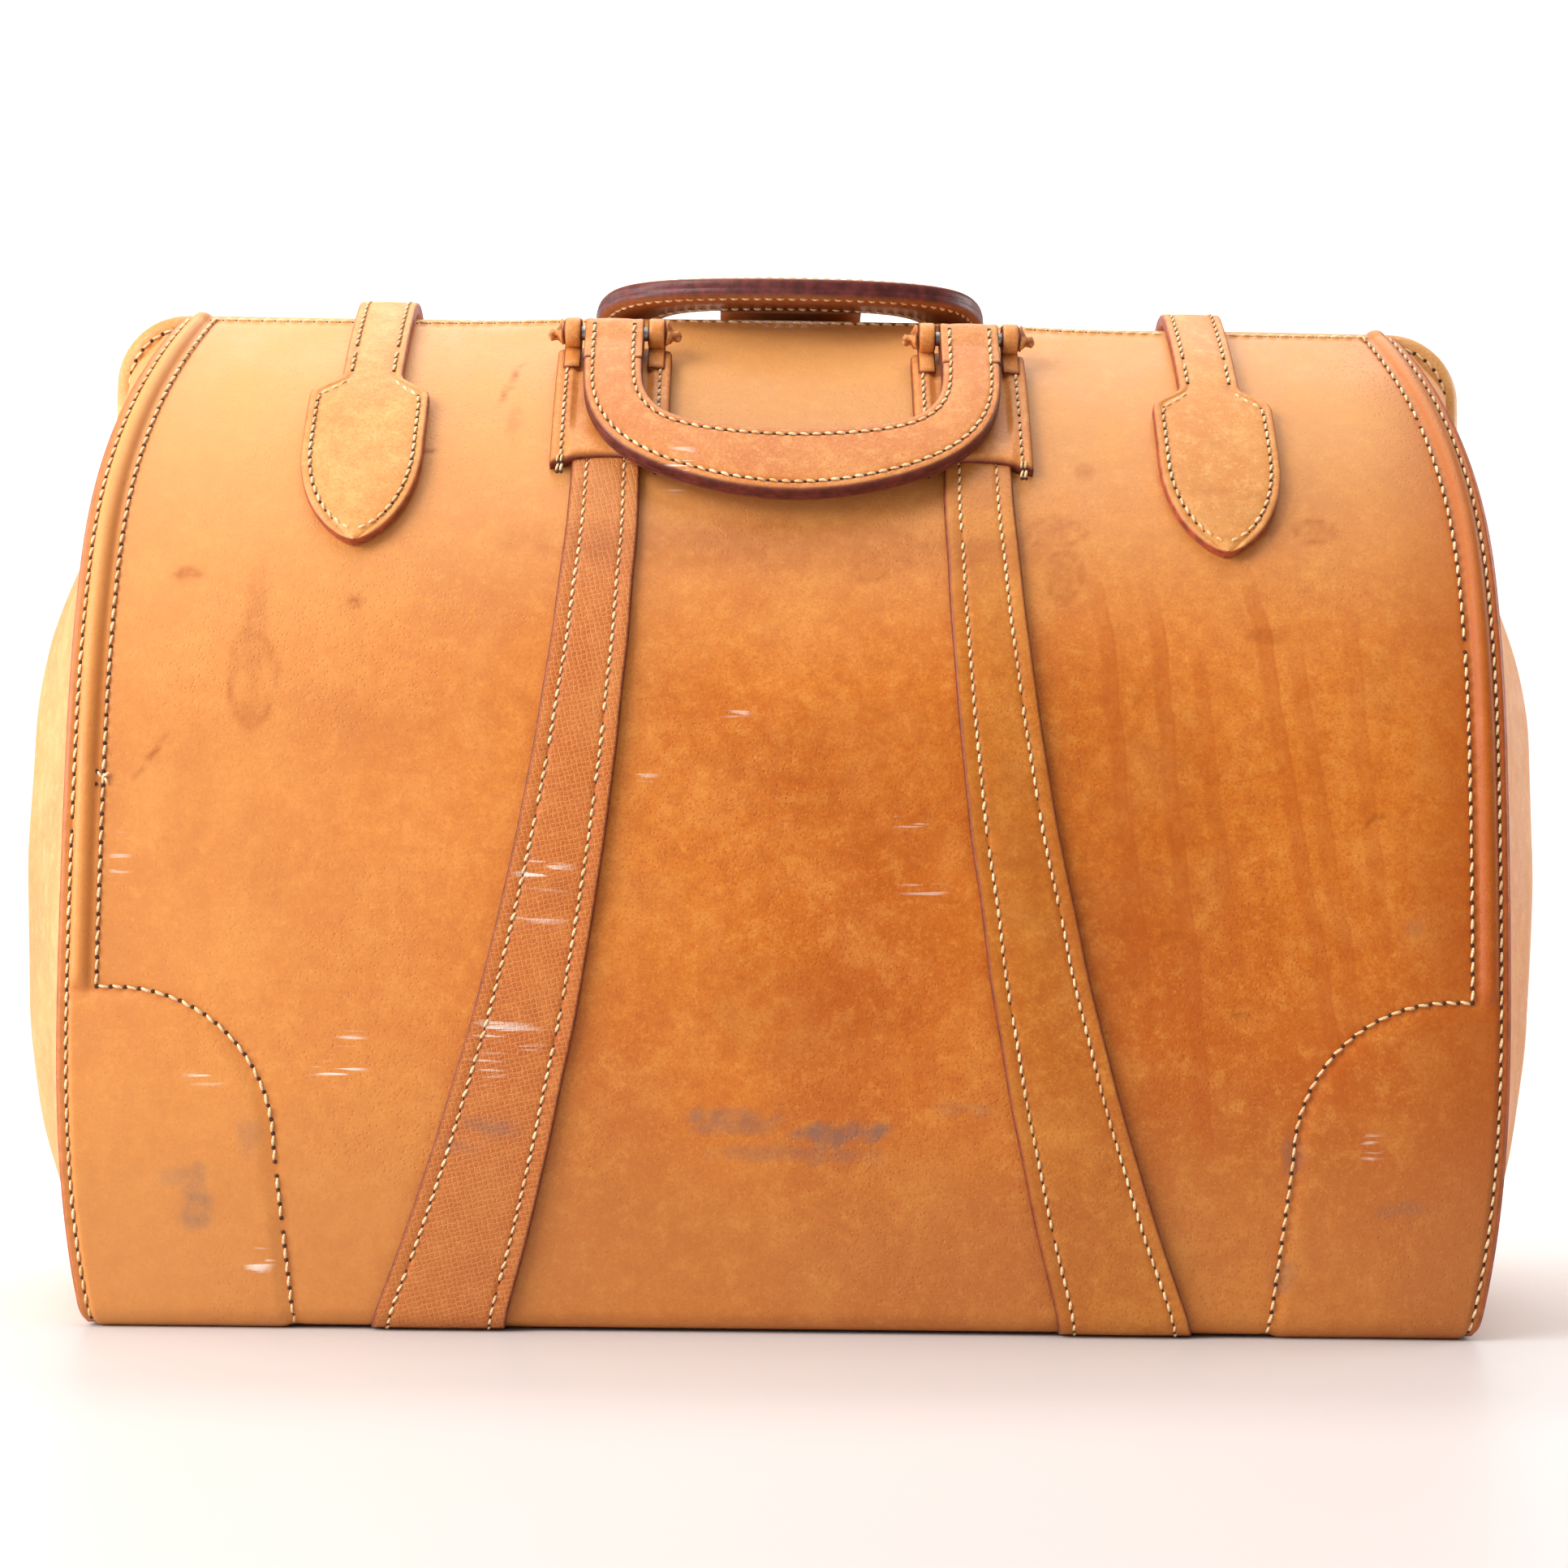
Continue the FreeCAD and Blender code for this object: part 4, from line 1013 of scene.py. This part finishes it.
def make_loop(name, sign, at, body):
    """The strap end that goes over the bar and lies on both faces of the handle."""
    thick = 2.2
    reach = 21.0
    bar_y, bar_z = at(0, 0)
    rise = 3.6
    line, normals = [], []
    for d in np.linspace(reach, 1.0, 12):
        h = rise + 1.9 * (1 - smooth(0, 12, d))
        y, z = at(d, h)
        y2, z2 = at(d, h + 1)
        line.append((y, z))
        normals.append((y2 - y, z2 - z))
    y, z = at(0, 1)
    up = np.array([y - bar_y, z - bar_z])
    down_y, down_z = at(1, 0)
    along = np.array([down_y - bar_y, down_z - bar_z])
    for a in np.linspace(0.1, math.pi - 0.1, 18):
        out = up * math.cos(a) - along * math.sin(a)
        line.append(tuple(np.array([bar_y, bar_z]) + out * (rise + 1.9)))
        normals.append(tuple(out))
    for d in np.linspace(1.0, reach, 12):
        h = rise + 1.9 * (1 - smooth(0, 12, d))
        y, z = at(d, -h)
        y2, z2 = at(d, -h - 1)
        line.append((y, z))
        normals.append((y2 - y, z2 - z))
    half, x0 = 10.7, sign * HANDLE_X
    section = [(0.0, 0.3), (0.0, 0.7), (0.02, 0.93), (0.06, 1.0), (0.16, 0.9), (0.26, 1.0), (0.5, 1.06),
               (0.74, 1.0), (0.84, 0.9), (0.94, 1.0), (0.98, 0.93), (1.0, 0.7), (1.0, 0.3), (0.98, 0.0),
               (0.02, 0.0)]
    rings, edge = [], []
    for (y, z), (ny, nz) in zip(line, normals):
        rings.append([(x0 + half * (2 * f - 1), y + ny * (h - 0.9) * thick, z + nz * (h - 0.9) * thick)
                      for f, h in section])
        edge.append([1.0 if f < 0.01 or f > 0.99 else 0.0 for f, _ in section])
    edge = np.array(edge)
    edge[0], edge[-1] = 1.0, 1.0
    loop = tube_mesh(name, np.array(rings), [HANDLE], {"edge": edge, "groove": np.zeros(edge.shape)})
    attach(loop, body)
    rows = []
    for face in (1, -1):
        for x in (-half + 3.4, half - 3.4):
            d = np.linspace(2.0, reach - 1.5, 8)
            h = face * (rise + 1.9 * (1 - smooth(0, 12, d)) + 0.1)
            y, z = at(d, h)
            y2, z2 = at(d, h + face)
            row_x = np.full(8, x0 + x)
            rows.append((np.stack([row_x, y, z], 1), np.stack([row_x, y2, z2], 1), 4.2))
    stitches(name + "_stitches", rows, body, seed=91)


# ---------------------------------------------------------------- closing straps

def strap_half_width(z_front):
    """The strap's half width at a height on the front: a pointed spade, then a narrow neck."""
    tip, full, top, spade, neck = 270.0, 305.0, 326.0, 21.7, 11.0
    t = np.clip((z_front - tip) / (full - tip), 0, 1)
    round_part = spade * (1 - (1 - t) ** 2.1) ** 0.62
    neck_part = spade + (neck - spade) * smooth(top, top + 8, z_front)
    return np.where(z_front < full, np.maximum(round_part, 0.8), neck_part)


def make_strap(end):
    """One two-layer strap: its spade sewn on the front, its neck over the frame, its spade on the back."""
    sign = ENDS[end]
    x0 = sign * STRAP_X
    t, lift, arch = 4.4, 0.35, 369.2
    s_bend = arc_at_angle(STRAP_LEAVES)
    tip_part = arc_at(270.0 + 35 * np.linspace(0, 1, 26) ** 1.6)
    lower = np.concatenate([tip_part, np.linspace(arc_at(305.5), s_bend, 44)])
    start = place(FRONT, 0, s_bend, 0)
    arch_span = abs(start[1])
    stations = [("front", s) for s in lower]
    stations += [("arch", a) for a in np.linspace(-1, 1, 20)[1:-1]]
    stations += [("back", s) for s in lower[::-1]]
    rise = arch - start[2]
    radius = (arch_span ** 2 + rise ** 2) / (2 * rise)
    half_turn = math.asin(min(1.0, arch_span / radius))

    def put_station(kind, value, x, h):
        if kind == "front":
            return place(FRONT, x, np.full_like(x, value), h)
        if kind == "back":
            return place(BACK, x, np.full_like(x, value), h)
        a = value * half_turn
        r = radius + h
        return np.stack([x, r * math.sin(a) + 0 * x, arch - radius + r * math.cos(a)], 1)

    half_section = [(0.55, 0.0, 0.5), (0.05, 0.2, 1), (0.0, 0.43, 1), (0.3, 0.5, 1), (0.0, 0.57, 1),
                    (0.05, 0.8, 1), (0.35, 0.95, 0.6), (0.9, 1.0, 0.15), (2.2, 1.0, 0), (2.9, 0.93, 0),
                    (3.4, 0.9, 0), (3.9, 0.93, 0), (5.2, 1.0, 0), (7.5, 1.02, 0)]
    rings, edge, cut = [], [], []
    for kind, value in stations:
        z = float(height_at(value)) if kind != "arch" else 400.0
        w = float(strap_half_width(z))
        squeeze = min(1.0, w / 8.2)
        left = [(-w + d * squeeze, h * t, e) for d, h, e in half_section]
        section = left + [(0.0, t * 1.03, 0)] + [(-x, h, e) for x, h, e in reversed(left)]
        x = np.array([v[0] for v in section]) + x0
        h = np.array([v[1] for v in section]) + lift
        rings.append(put_station(kind, value, x, h))
        edge.append([v[2] for v in section])
        cut.append([1.0 if abs(abs(v[0]) - (w - 3.4)) < 0.7 else 0.0 for v in section])
    edge = np.array(edge, float)
    edge[0] = 1.0
    edge[-1] = 1.0
    strap = tube_mesh(f"strap_{end}", np.array(rings), [STRAP], {"edge": edge, "groove": np.array(cut)})
    hinge = place(FRONT, x0, arc_at_angle(STRAP_HINGE), 2.5)
    ahead = place(FRONT, x0, arc_at_angle(STRAP_SEWN), 2.5)
    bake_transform(strap)
    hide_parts("strap_end_" + end, "strap_leather_" + end, "strap_lining_" + end)
    z_spade = 270.0 + 35 * np.linspace(0.02, 1, 30) ** 1.6
    z_line = np.concatenate([[270.0], z_spade, np.linspace(306, 334, 12)])
    outline = np.stack([-strap_half_width(z_line), z_line], 1)
    outline[0, 0] = 0.0
    inner = inset_line(outline, -3.4)
    inner = inner[inner[:, 0] < -0.6]
    inner = inner[inner[:, 1] > 273.5]
    top_h = lift + t * 0.93
    s_neck = np.linspace(arc_at(336.0), s_bend, 12)
    rows_front, rows_back = [], []
    for mirror in (-1, 1):
        x_spade = x0 + mirror * inner[:, 0]
        x_neck = x0 - mirror * (11.0 - 3.4)
        for side, target in ((FRONT, rows_front), (BACK, rows_back)):
            target.append(surface_row(side, x_spade, arc_at(inner[:, 1]), top_h, PITCH_BAND))
        split = arc_at_angle(STRAP_SEWN)
        lower_neck = s_neck[s_neck < split]
        rows_front.append(surface_row(FRONT, np.full(len(lower_neck), x_neck), lower_neck, top_h, PITCH_BAND))
        turn = np.linspace(-1, 1, 24) * half_turn
        r = radius + top_h

        def over(extra):
            arch_part = np.stack([np.full(24, x_neck), (r + extra) * np.sin(turn),
                                  arch - radius + (r + extra) * np.cos(turn)], 1)
            upper = s_neck[s_neck >= split]
            front_part = place(FRONT, np.full(len(upper), x_neck), upper, top_h + extra)
            back_part = place(BACK, np.full(len(s_neck), x_neck), s_neck[::-1], top_h + extra)
            return np.concatenate([front_part[:-1], arch_part, back_part[1:]])
        rows_back.append((over(0), over(1), PITCH_BAND))
    stitches(f"strap_{end}_stitches_front", rows_front, "front", seed=101)
    stitches(f"strap_{end}_stitches_back", rows_back, "strap_" + end, seed=103)


# ---------------------------------------------------------------- mouth frame and gussets

def make_frame_cover(side):
    """The leather wrapped round a steel bow, stitched along its outer edge at the two ends."""
    name = SIDE_NAMES[side] + "_frame"
    low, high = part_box(name + "_cover")
    half, top = high.x / MM, high.z / MM + 0.1
    y_mid = side * 5.2
    depth, width, corner = 4.85, 14.0, 27.0
    centre_r = corner - width / 2
    arm_end = low.z / MM
    path = [(half - width / 2, z) for z in np.linspace(arm_end, top - corner, 12)]
    path += [(half - corner + centre_r * math.cos(a), top - corner + centre_r * math.sin(a))
             for a in np.linspace(0, math.pi / 2, 16)[1:]]
    path += [(x, top - width / 2) for x in np.linspace(half - corner, 0, 60)[1:]]
    path = path + [(-x, z) for x, z in reversed(path[:-1])]
    path = np.array(path)
    step = np.gradient(path, axis=0)
    step /= np.linalg.norm(step, axis=1)[:, None]
    out = np.stack([step[:, 1], -step[:, 0]], 1)
    out *= np.sign((out * (path - np.array([0, 300]))).sum(1))[:, None]
    section = []
    for a in np.linspace(-math.pi / 2, math.pi / 2, 13):
        section.append((depth * math.sin(a), 2.2 + depth * math.cos(a) * 0.98, 0.0))
    flank = [(depth, 0, 0), (depth, -4.4, 0), (depth * 0.9, -6.4, 0.4), (depth * 0.55, -7.0, 1)]
    section += flank + [(0.0, -6.4, 1)] + [(-y, r, e) for y, r, e in reversed(flank)]
    rings, edge = [], []
    for p, n in zip(path, out):
        sway = noise.noise(Vector((p[0] * 0.02, p[1] * 0.02, side * 3))) * 0.25
        ring = []
        for y, r, _ in section:
            q = p + n * (r + sway * (r > 0))
            ring.append((q[0], y_mid + y * 0.985, q[1]))
        rings.append(ring)
        edge.append([e for _, _, e in section])
    cover = tube_mesh(name + "_cover_leather", np.array(rings), [FRAME],
                      {"edge": np.array(edge), "groove": np.zeros((len(path), len(section)))})
    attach(cover, name)
    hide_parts(name + "_cover")
    line = path + out * 1.2
    base = np.stack([line[:, 0], np.full(len(line), y_mid + side * depth), line[:, 1]], 1)
    above = base + np.array([0, side, 0])
    rows = []
    for mask in (base[:, 0] > 226, base[:, 0] < -226):
        rows.append((base[mask], above[mask], PITCH_EDGE))
    stitches(name + "_stitches", rows, name, seed=121)


def gusset_bulge(z):
    heights = [0, 10, 32, 58, 100, 160, 215, 240, 262, 284]
    bulge = [250, 253, 264, 274, 282, 284.5, 282.5, 277, 268, 256]
    return np.interp(z, heights, bulge)


def soften(values, times=6):
    for _ in range(times):
        values[1:-1] = (values[:-2] + 2 * values[1:-1] + values[2:]) / 4
    return values


def side_depth(z, offset):
    """The distance from the middle plane to a panel's face, offset inwards."""
    s = arc_at(z)
    return np.abs(place(FRONT, 0, s, offset)[..., 1])


def gusset_sheet(name, sign, x, y, z, thick):
    """A sheet of gusset leather whose outer face is x from the bag's middle."""
    y, z = y + 0 * x, z + 0 * x
    outer = np.stack([sign * x, y, z], -1)
    inner = np.stack([sign * (x - thick), y, z], -1)
    zeros = np.zeros(x.shape)
    return slab(name, outer, inner, [GUSSET], {"edge": zeros, "groove": zeros})


def make_gusset(side, end):
    """Half of a soft gusset: from the panel's edge to the middle of the bag's end."""
    sign = ENDS[end]
    name = f"{SIDE_NAMES[side]}_gusset_{end}"
    z = np.linspace(2.0, 284, 90)
    v = np.linspace(0, 1, 40)
    bulge = soften(gusset_bulge(z), 8)[:, None]
    depth = np.minimum(side_depth(np.maximum(z, 9.0), -5.6), 112.0)[:, None]
    y = side * depth * v[None, :]
    xe = (half_width(z) - 1.6)[:, None]
    shape = (1 - v[None, :] ** 1.7) ** 1.15
    x = xe + (bulge - xe) * shape
    points = np.stack([x, y, z[:, None] + 0 * x], -1)
    folds = 1.6 * np.sin(v[None, :] * 15 + ripple(points * np.array([1, 1, 0.25]), 0.02, 9 + sign + side) * 5)
    folds = folds * np.exp(-((v[None, :] - 0.45) / 0.3) ** 2)
    folds = folds * smooth(10, 70, z)[:, None] * smooth(290, 230, z)[:, None]
    dents = ripple(points, 0.018, 13 + sign * 2 + side) * 3.0 * shape * (1 - shape) * 2
    crease = 1.4 * np.exp(-(v[None, :] / 0.035) ** 2) * smooth(20, 60, z)[:, None]
    x = np.minimum(x + folds * 0.6 + dents + crease, 286.0)
    half = gusset_sheet(name, sign, x, y, z[:, None], 2.0)
    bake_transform(half)
    if side == FRONT:
        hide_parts("gusset_" + end)


def make_wing(side, end):
    """The gusset's upper part, between a panel's edge and its bow's arm."""
    sign = ENDS[end]
    name = f"{SIDE_NAMES[side]}_gusset_wing_{end}_leather"
    z = np.linspace(279, 358, 40)
    v = np.linspace(0, 1, 26)
    depth = side_depth(z, -5.6)[:, None]
    y = side * (9.4 + np.maximum(depth - 9.4, 1.0) * v[None, :])
    xe = (half_width(z) - 1.6)[:, None]
    x_arm = 251.0 - 16 * smooth(340, 366, z)[:, None]
    x = x_arm + (xe - x_arm) * v[None, :] + 5.0 * np.sin(np.pi * v)[None, :] * smooth(360, 300, z)[:, None]
    points = np.stack([x, y, z[:, None] + 0 * x], -1)
    x = x + ripple(points, 0.03, 21 + sign + side) * 1.6 * np.sin(np.pi * v)[None, :]
    wing = gusset_sheet(name, sign, x, y, z[:, None], 1.8)
    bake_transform(wing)
    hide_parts(f"{SIDE_NAMES[side]}_gusset_wing_{end}")


def make_lock_tab():
    """The lock's leather tab: up the back and over the back bow, with its end on the mouth."""
    s_up = np.linspace(arc_at(296.0), S_TOP - 1.0, 34)
    last = place(BACK, 0, S_TOP - 1.0, 0.0)
    reach = np.linspace(0, 1, 16)[1:]
    over_y = last[1] + (-8.5 - last[1]) * reach
    over_z = last[2] + (371.2 - last[2]) * np.sin(reach * math.pi / 2) ** 0.8
    low_half = np.minimum(31.0, 22.0 + 9.0 * np.sqrt(np.clip((s_up - s_up[0]) / 9.0, 0, 1)))
    half = np.concatenate([low_half, np.full(len(reach), 27.0)])
    half[len(s_up) - 8:len(s_up)] = np.linspace(31.0, 27.0, 8)
    half[-1] = 24.5

    def put(x, station, h):
        if station[0] < len(s_up):
            return place(BACK, x, np.full(len(x), s_up[int(station[0])]), h)
        i = int(station[0]) - len(s_up)
        turn = math.radians(60) + math.radians(30) * min(1.0, reach[i] * 1.6)
        return np.stack([x, over_y[i] + h * math.cos(turn), over_z[i] + h * math.sin(turn)], 1)

    count = np.arange(len(half))
    left = np.stack([-half, count], 1)
    right = np.stack([half, count], 1)
    tab = ribbon("lock_tab_leather", left, right, put, 2.9, [CHAPE], row=3.6, base=0.1)
    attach(tab, "back")
    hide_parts("lock_tab")
    rows = []
    for sign in (-1, 1):
        rows.append(surface_row(BACK, sign * (low_half - 3.6)[2:-2], s_up[2:-2], 2.75, PITCH_BAND))
    stitches("lock_tab_stitches", rows, "back", seed=131)


def make_tuck(end):
    """The fold of the gusset that rises as the mouth opens."""
    sign = ENDS[end]
    low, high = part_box("gusset_tuck_" + end)
    z = np.linspace(low.z / MM, high.z / MM, 24)
    y = np.linspace(low.y / MM, high.y / MM, 40)
    grid_y, grid_z = np.meshgrid(y, z)
    x = 237.4 + 0.6 * np.sin(grid_y * 0.11)
    tuck = gusset_sheet(f"gusset_fold_{end}", sign, x, grid_y, grid_z, 1.6)
    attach(tuck, "gusset_fold")
    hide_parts("gusset_tuck_" + end)


# ---------------------------------------------------------------- under the panels

def make_edge_layers(side, end):
    """The layers behind a panel's edge: the stiffening strip and the folded welt of the seam."""
    sign = ENDS[end]
    s = np.linspace(S_BELLY, S_TOP - 10, 120)
    edge = half_width(height_at(s))
    for kind, low, high, wide, inset, material in (("reinforcement", -4.95, -3.5, 14.0, 0.5, LAYERS),
                                                  ("welt", -7.6, -5.0, 9.0, -0.2, WELT)):
        ragged = np.array([noise.noise(Vector((v * 0.09, sign * 5 + side, low))) for v in s]) * 0.35
        outer = np.stack([sign * (edge - inset + ragged), s], 1)
        inner = np.stack([sign * (edge - wide), s], 1)

        def put(x, arc, h):
            return place(side, x, arc, low + h)

        name = f"{SIDE_NAMES[side]}_{kind}_{end}"
        strip = ribbon(name + "_leather", inner, outer, put, high - low, [material], groove=0.1, base=0.0)
        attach(strip, SIDE_NAMES[side])
        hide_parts(name)


def make_lining(side):
    """The cotton lining glued inside a panel, a little loose, with a stitched top hem."""
    name = SIDE_NAMES[side]
    s = np.linspace(S_BELLY + 2, S_TOP - 0.6, 130)
    x = np.linspace(-1, 1, 190)[None, :] * (half_width(height_at(s)) - 9.6)[:, None]
    grid_s = np.repeat(s[:, None], 190, 1)
    plain = place(side, x, grid_s, -6.0)
    loose = (ripple(plain, 0.02, 41 + side) + 0.5 * ripple(plain, 0.06, 43)) * 0.8
    hem = 0.9 * (1 - smooth(9.0, 10.5, S_TOP - grid_s))
    inner = place(side, x, grid_s, -6.1 - hem - np.abs(loose))
    outer = place(side, x, grid_s, -5.1)
    zeros = np.zeros(x.shape)
    cloth_piece = slab(name + "_lining_cotton", inner, outer, [LINING], {"edge": zeros, "groove": zeros})
    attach(cloth_piece, name)
    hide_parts(name + "_lining")
    run = np.linspace(-218, 218, 140)
    s_hem = np.full(140, S_TOP - 8.0)
    line = place(side, run, s_hem, -7.1)
    stitches(name + "_lining_stitches", [(line, place(side, run, s_hem, -8.1), 4.0)], name, seed=151)


def make_bottom():
    """The worn bottom leather with its sewn border, standing on the ground."""
    u = np.linspace(-1, 1, 150)[None, :]
    v = np.linspace(-1, 1, 60)[:, None]
    y = 104.0 * v + 0 * u
    x = u * (237 + 10 * (1 - v ** 2))
    plain = np.stack([x, y, 0 * x], -1)
    dent = 0.25 * np.abs(ripple(plain, 0.03, 61))
    rim = np.minimum(104.0 - np.abs(y), 237 + 10 * (1 - v ** 2) - np.abs(x))
    groove = np.exp(-((rim - 7.0) / 1.0) ** 2)
    under = np.stack([x, y, 0.02 + dent + 0.3 * groove + 0.8 * (1 - smooth(0, 1.5, rim))], -1)
    over = np.stack([x, y, 3.4 + 0 * x], -1)
    worn = {"edge": 1 - smooth(0, 1.2, rim), "groove": groove}
    leather_piece = slab("bottom_leather_worn", under, over, [UNDER], worn)
    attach(leather_piece, "base")
    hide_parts("bottom_leather")
    rows = []
    for sign in (-1, 1):
        run = np.linspace(-229, 229, 160)
        line = np.stack([run, np.full(160, sign * 97.0), np.full(160, 1.1)], 1)
        rows.append((line, line - np.array([0, 0, 1.0]), PITCH_EDGE))
    stitches("bottom_stitches", rows, "base", seed=161)


# ---------------------------------------------------------------- the CAD pieces that stay

def finish_cad_nodes():
    plain = {
        "handle_bar": STEEL, "steel": STEEL, "core": LAYERS, "rivets": BRASS, "lock_plate": BRASS,
        "lock_button": BRASS, "board": BOARD, "strap_cap": BRASS, "strap_stud": BRASS,
    }
    for name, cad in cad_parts.items():
        for key, material in plain.items():
            if key in name:
                cad.data.materials.clear()
                cad.data.materials.append(material)


# ---------------------------------------------------------------- studio

def studio():
    scene = bpy.context.scene
    scene.view_settings.view_transform = "Standard"
    world = bpy.data.worlds.new("studio")
    scene.world = world
    world.use_nodes = True
    background = world.node_tree.nodes["Background"]
    background.inputs["Color"].default_value = (1.0, 0.985, 0.98, 1)
    background.inputs["Strength"].default_value = 0.34
    near, far, bend, top = -3.0, 1.4, 0.9, 3.2
    points = [(y, 0.0) for y in np.linspace(near, far, 4)]
    for a in np.linspace(0, math.pi / 2, 16)[1:]:
        points.append((far + bend * math.sin(a), bend * (1 - math.cos(a))))
    points.append((far + bend, top))
    verts = [(x, y, z) for y, z in points for x in (-4.0, 4.0)]
    faces = [(2 * i, 2 * i + 1, 2 * i + 3, 2 * i + 2) for i in range(len(points) - 1)]
    mesh = bpy.data.meshes.new("floor")
    mesh.from_pydata(verts, [], faces)
    mesh.polygons.foreach_set("use_smooth", [True] * len(faces))
    floor = bpy.data.objects.new("floor", mesh)
    scene.collection.objects.link(floor)
    material, _, shader, _ = new_material("studio_floor")
    shader.inputs["Base Color"].default_value = (0.67, 0.635, 0.615, 1)
    shader.inputs["Roughness"].default_value = 0.42
    mesh.materials.append(material)
    for name, place_at, target, size, power in (
            ("key", (-1.35, -1.05, 1.20), (-0.15, 0, 0.2), 1.0, 29),
            ("front", (-0.9, -2.2, 0.6), (-0.1, 0, 0.2), 1.2, 4),
            ("left_low", (-1.5, -0.5, 0.35), (-0.25, -0.1, 0.2), 0.6, 10),
            ("top", (-0.1, -0.35, 1.8), (0, 0, 0.3), 1.4, 17),
            ("left_end", (-1.6, 0.4, 0.6), (-0.3, 0, 0.2), 0.9, 8),
            ("right_end", (1.6, 0.5, 0.6), (0.3, 0, 0.2), 0.9, 13),
            ("backdrop", (0.0, 0.9, 1.9), (0, 2.4, 0.5), 1.6, 60)):
        light = bpy.data.lights.new(name, "AREA")
        light.shape = "SQUARE"
        light.size = size
        light.energy = power
        lamp = bpy.data.objects.new(name, light)
        scene.collection.objects.link(lamp)
        lamp.location = place_at
        lamp.rotation_euler = (Vector(target) - Vector(place_at)).to_track_quat("-Z", "Y").to_euler()


def camera():
    """Square on, a metre away, low, with a slight yaw, tilt and roll."""
    data = bpy.data.cameras.new("camera")
    data.sensor_width = 36
    data.lens = 65.68
    data.clip_start = 0.01
    data.clip_end = 50
    cam = bpy.data.objects.new("camera", data)
    bpy.context.scene.collection.objects.link(cam)
    yaw, pitch, roll = math.radians(0.83), math.radians(1.79), math.radians(0.74)
    turn = Matrix.Rotation(-yaw, 4, "Z") @ Matrix.Rotation(math.pi / 2 + pitch, 4, "X")
    turn = turn @ Matrix.Rotation(roll, 4, "Z")
    cam.matrix_world = Matrix.Translation((-0.016, -1.0937, 0.1573)) @ turn
    bpy.context.scene.camera = cam


for panel_side in (FRONT, BACK):
    make_panel(panel_side)
    make_frame_cover(panel_side)
    make_handle(panel_side)
    make_lining(panel_side)
    for panel_end in ENDS:
        make_edge_layers(panel_side, panel_end)
        make_band(panel_side, panel_end)
        make_chape(panel_side, panel_end)
        make_gusset(panel_side, panel_end)
        make_wing(panel_side, panel_end)
for strap_end in ENDS:
    make_strap(strap_end)
    make_tuck(strap_end)
make_lock_tab()
make_bottom()
finish_cad_nodes()
studio()
camera()
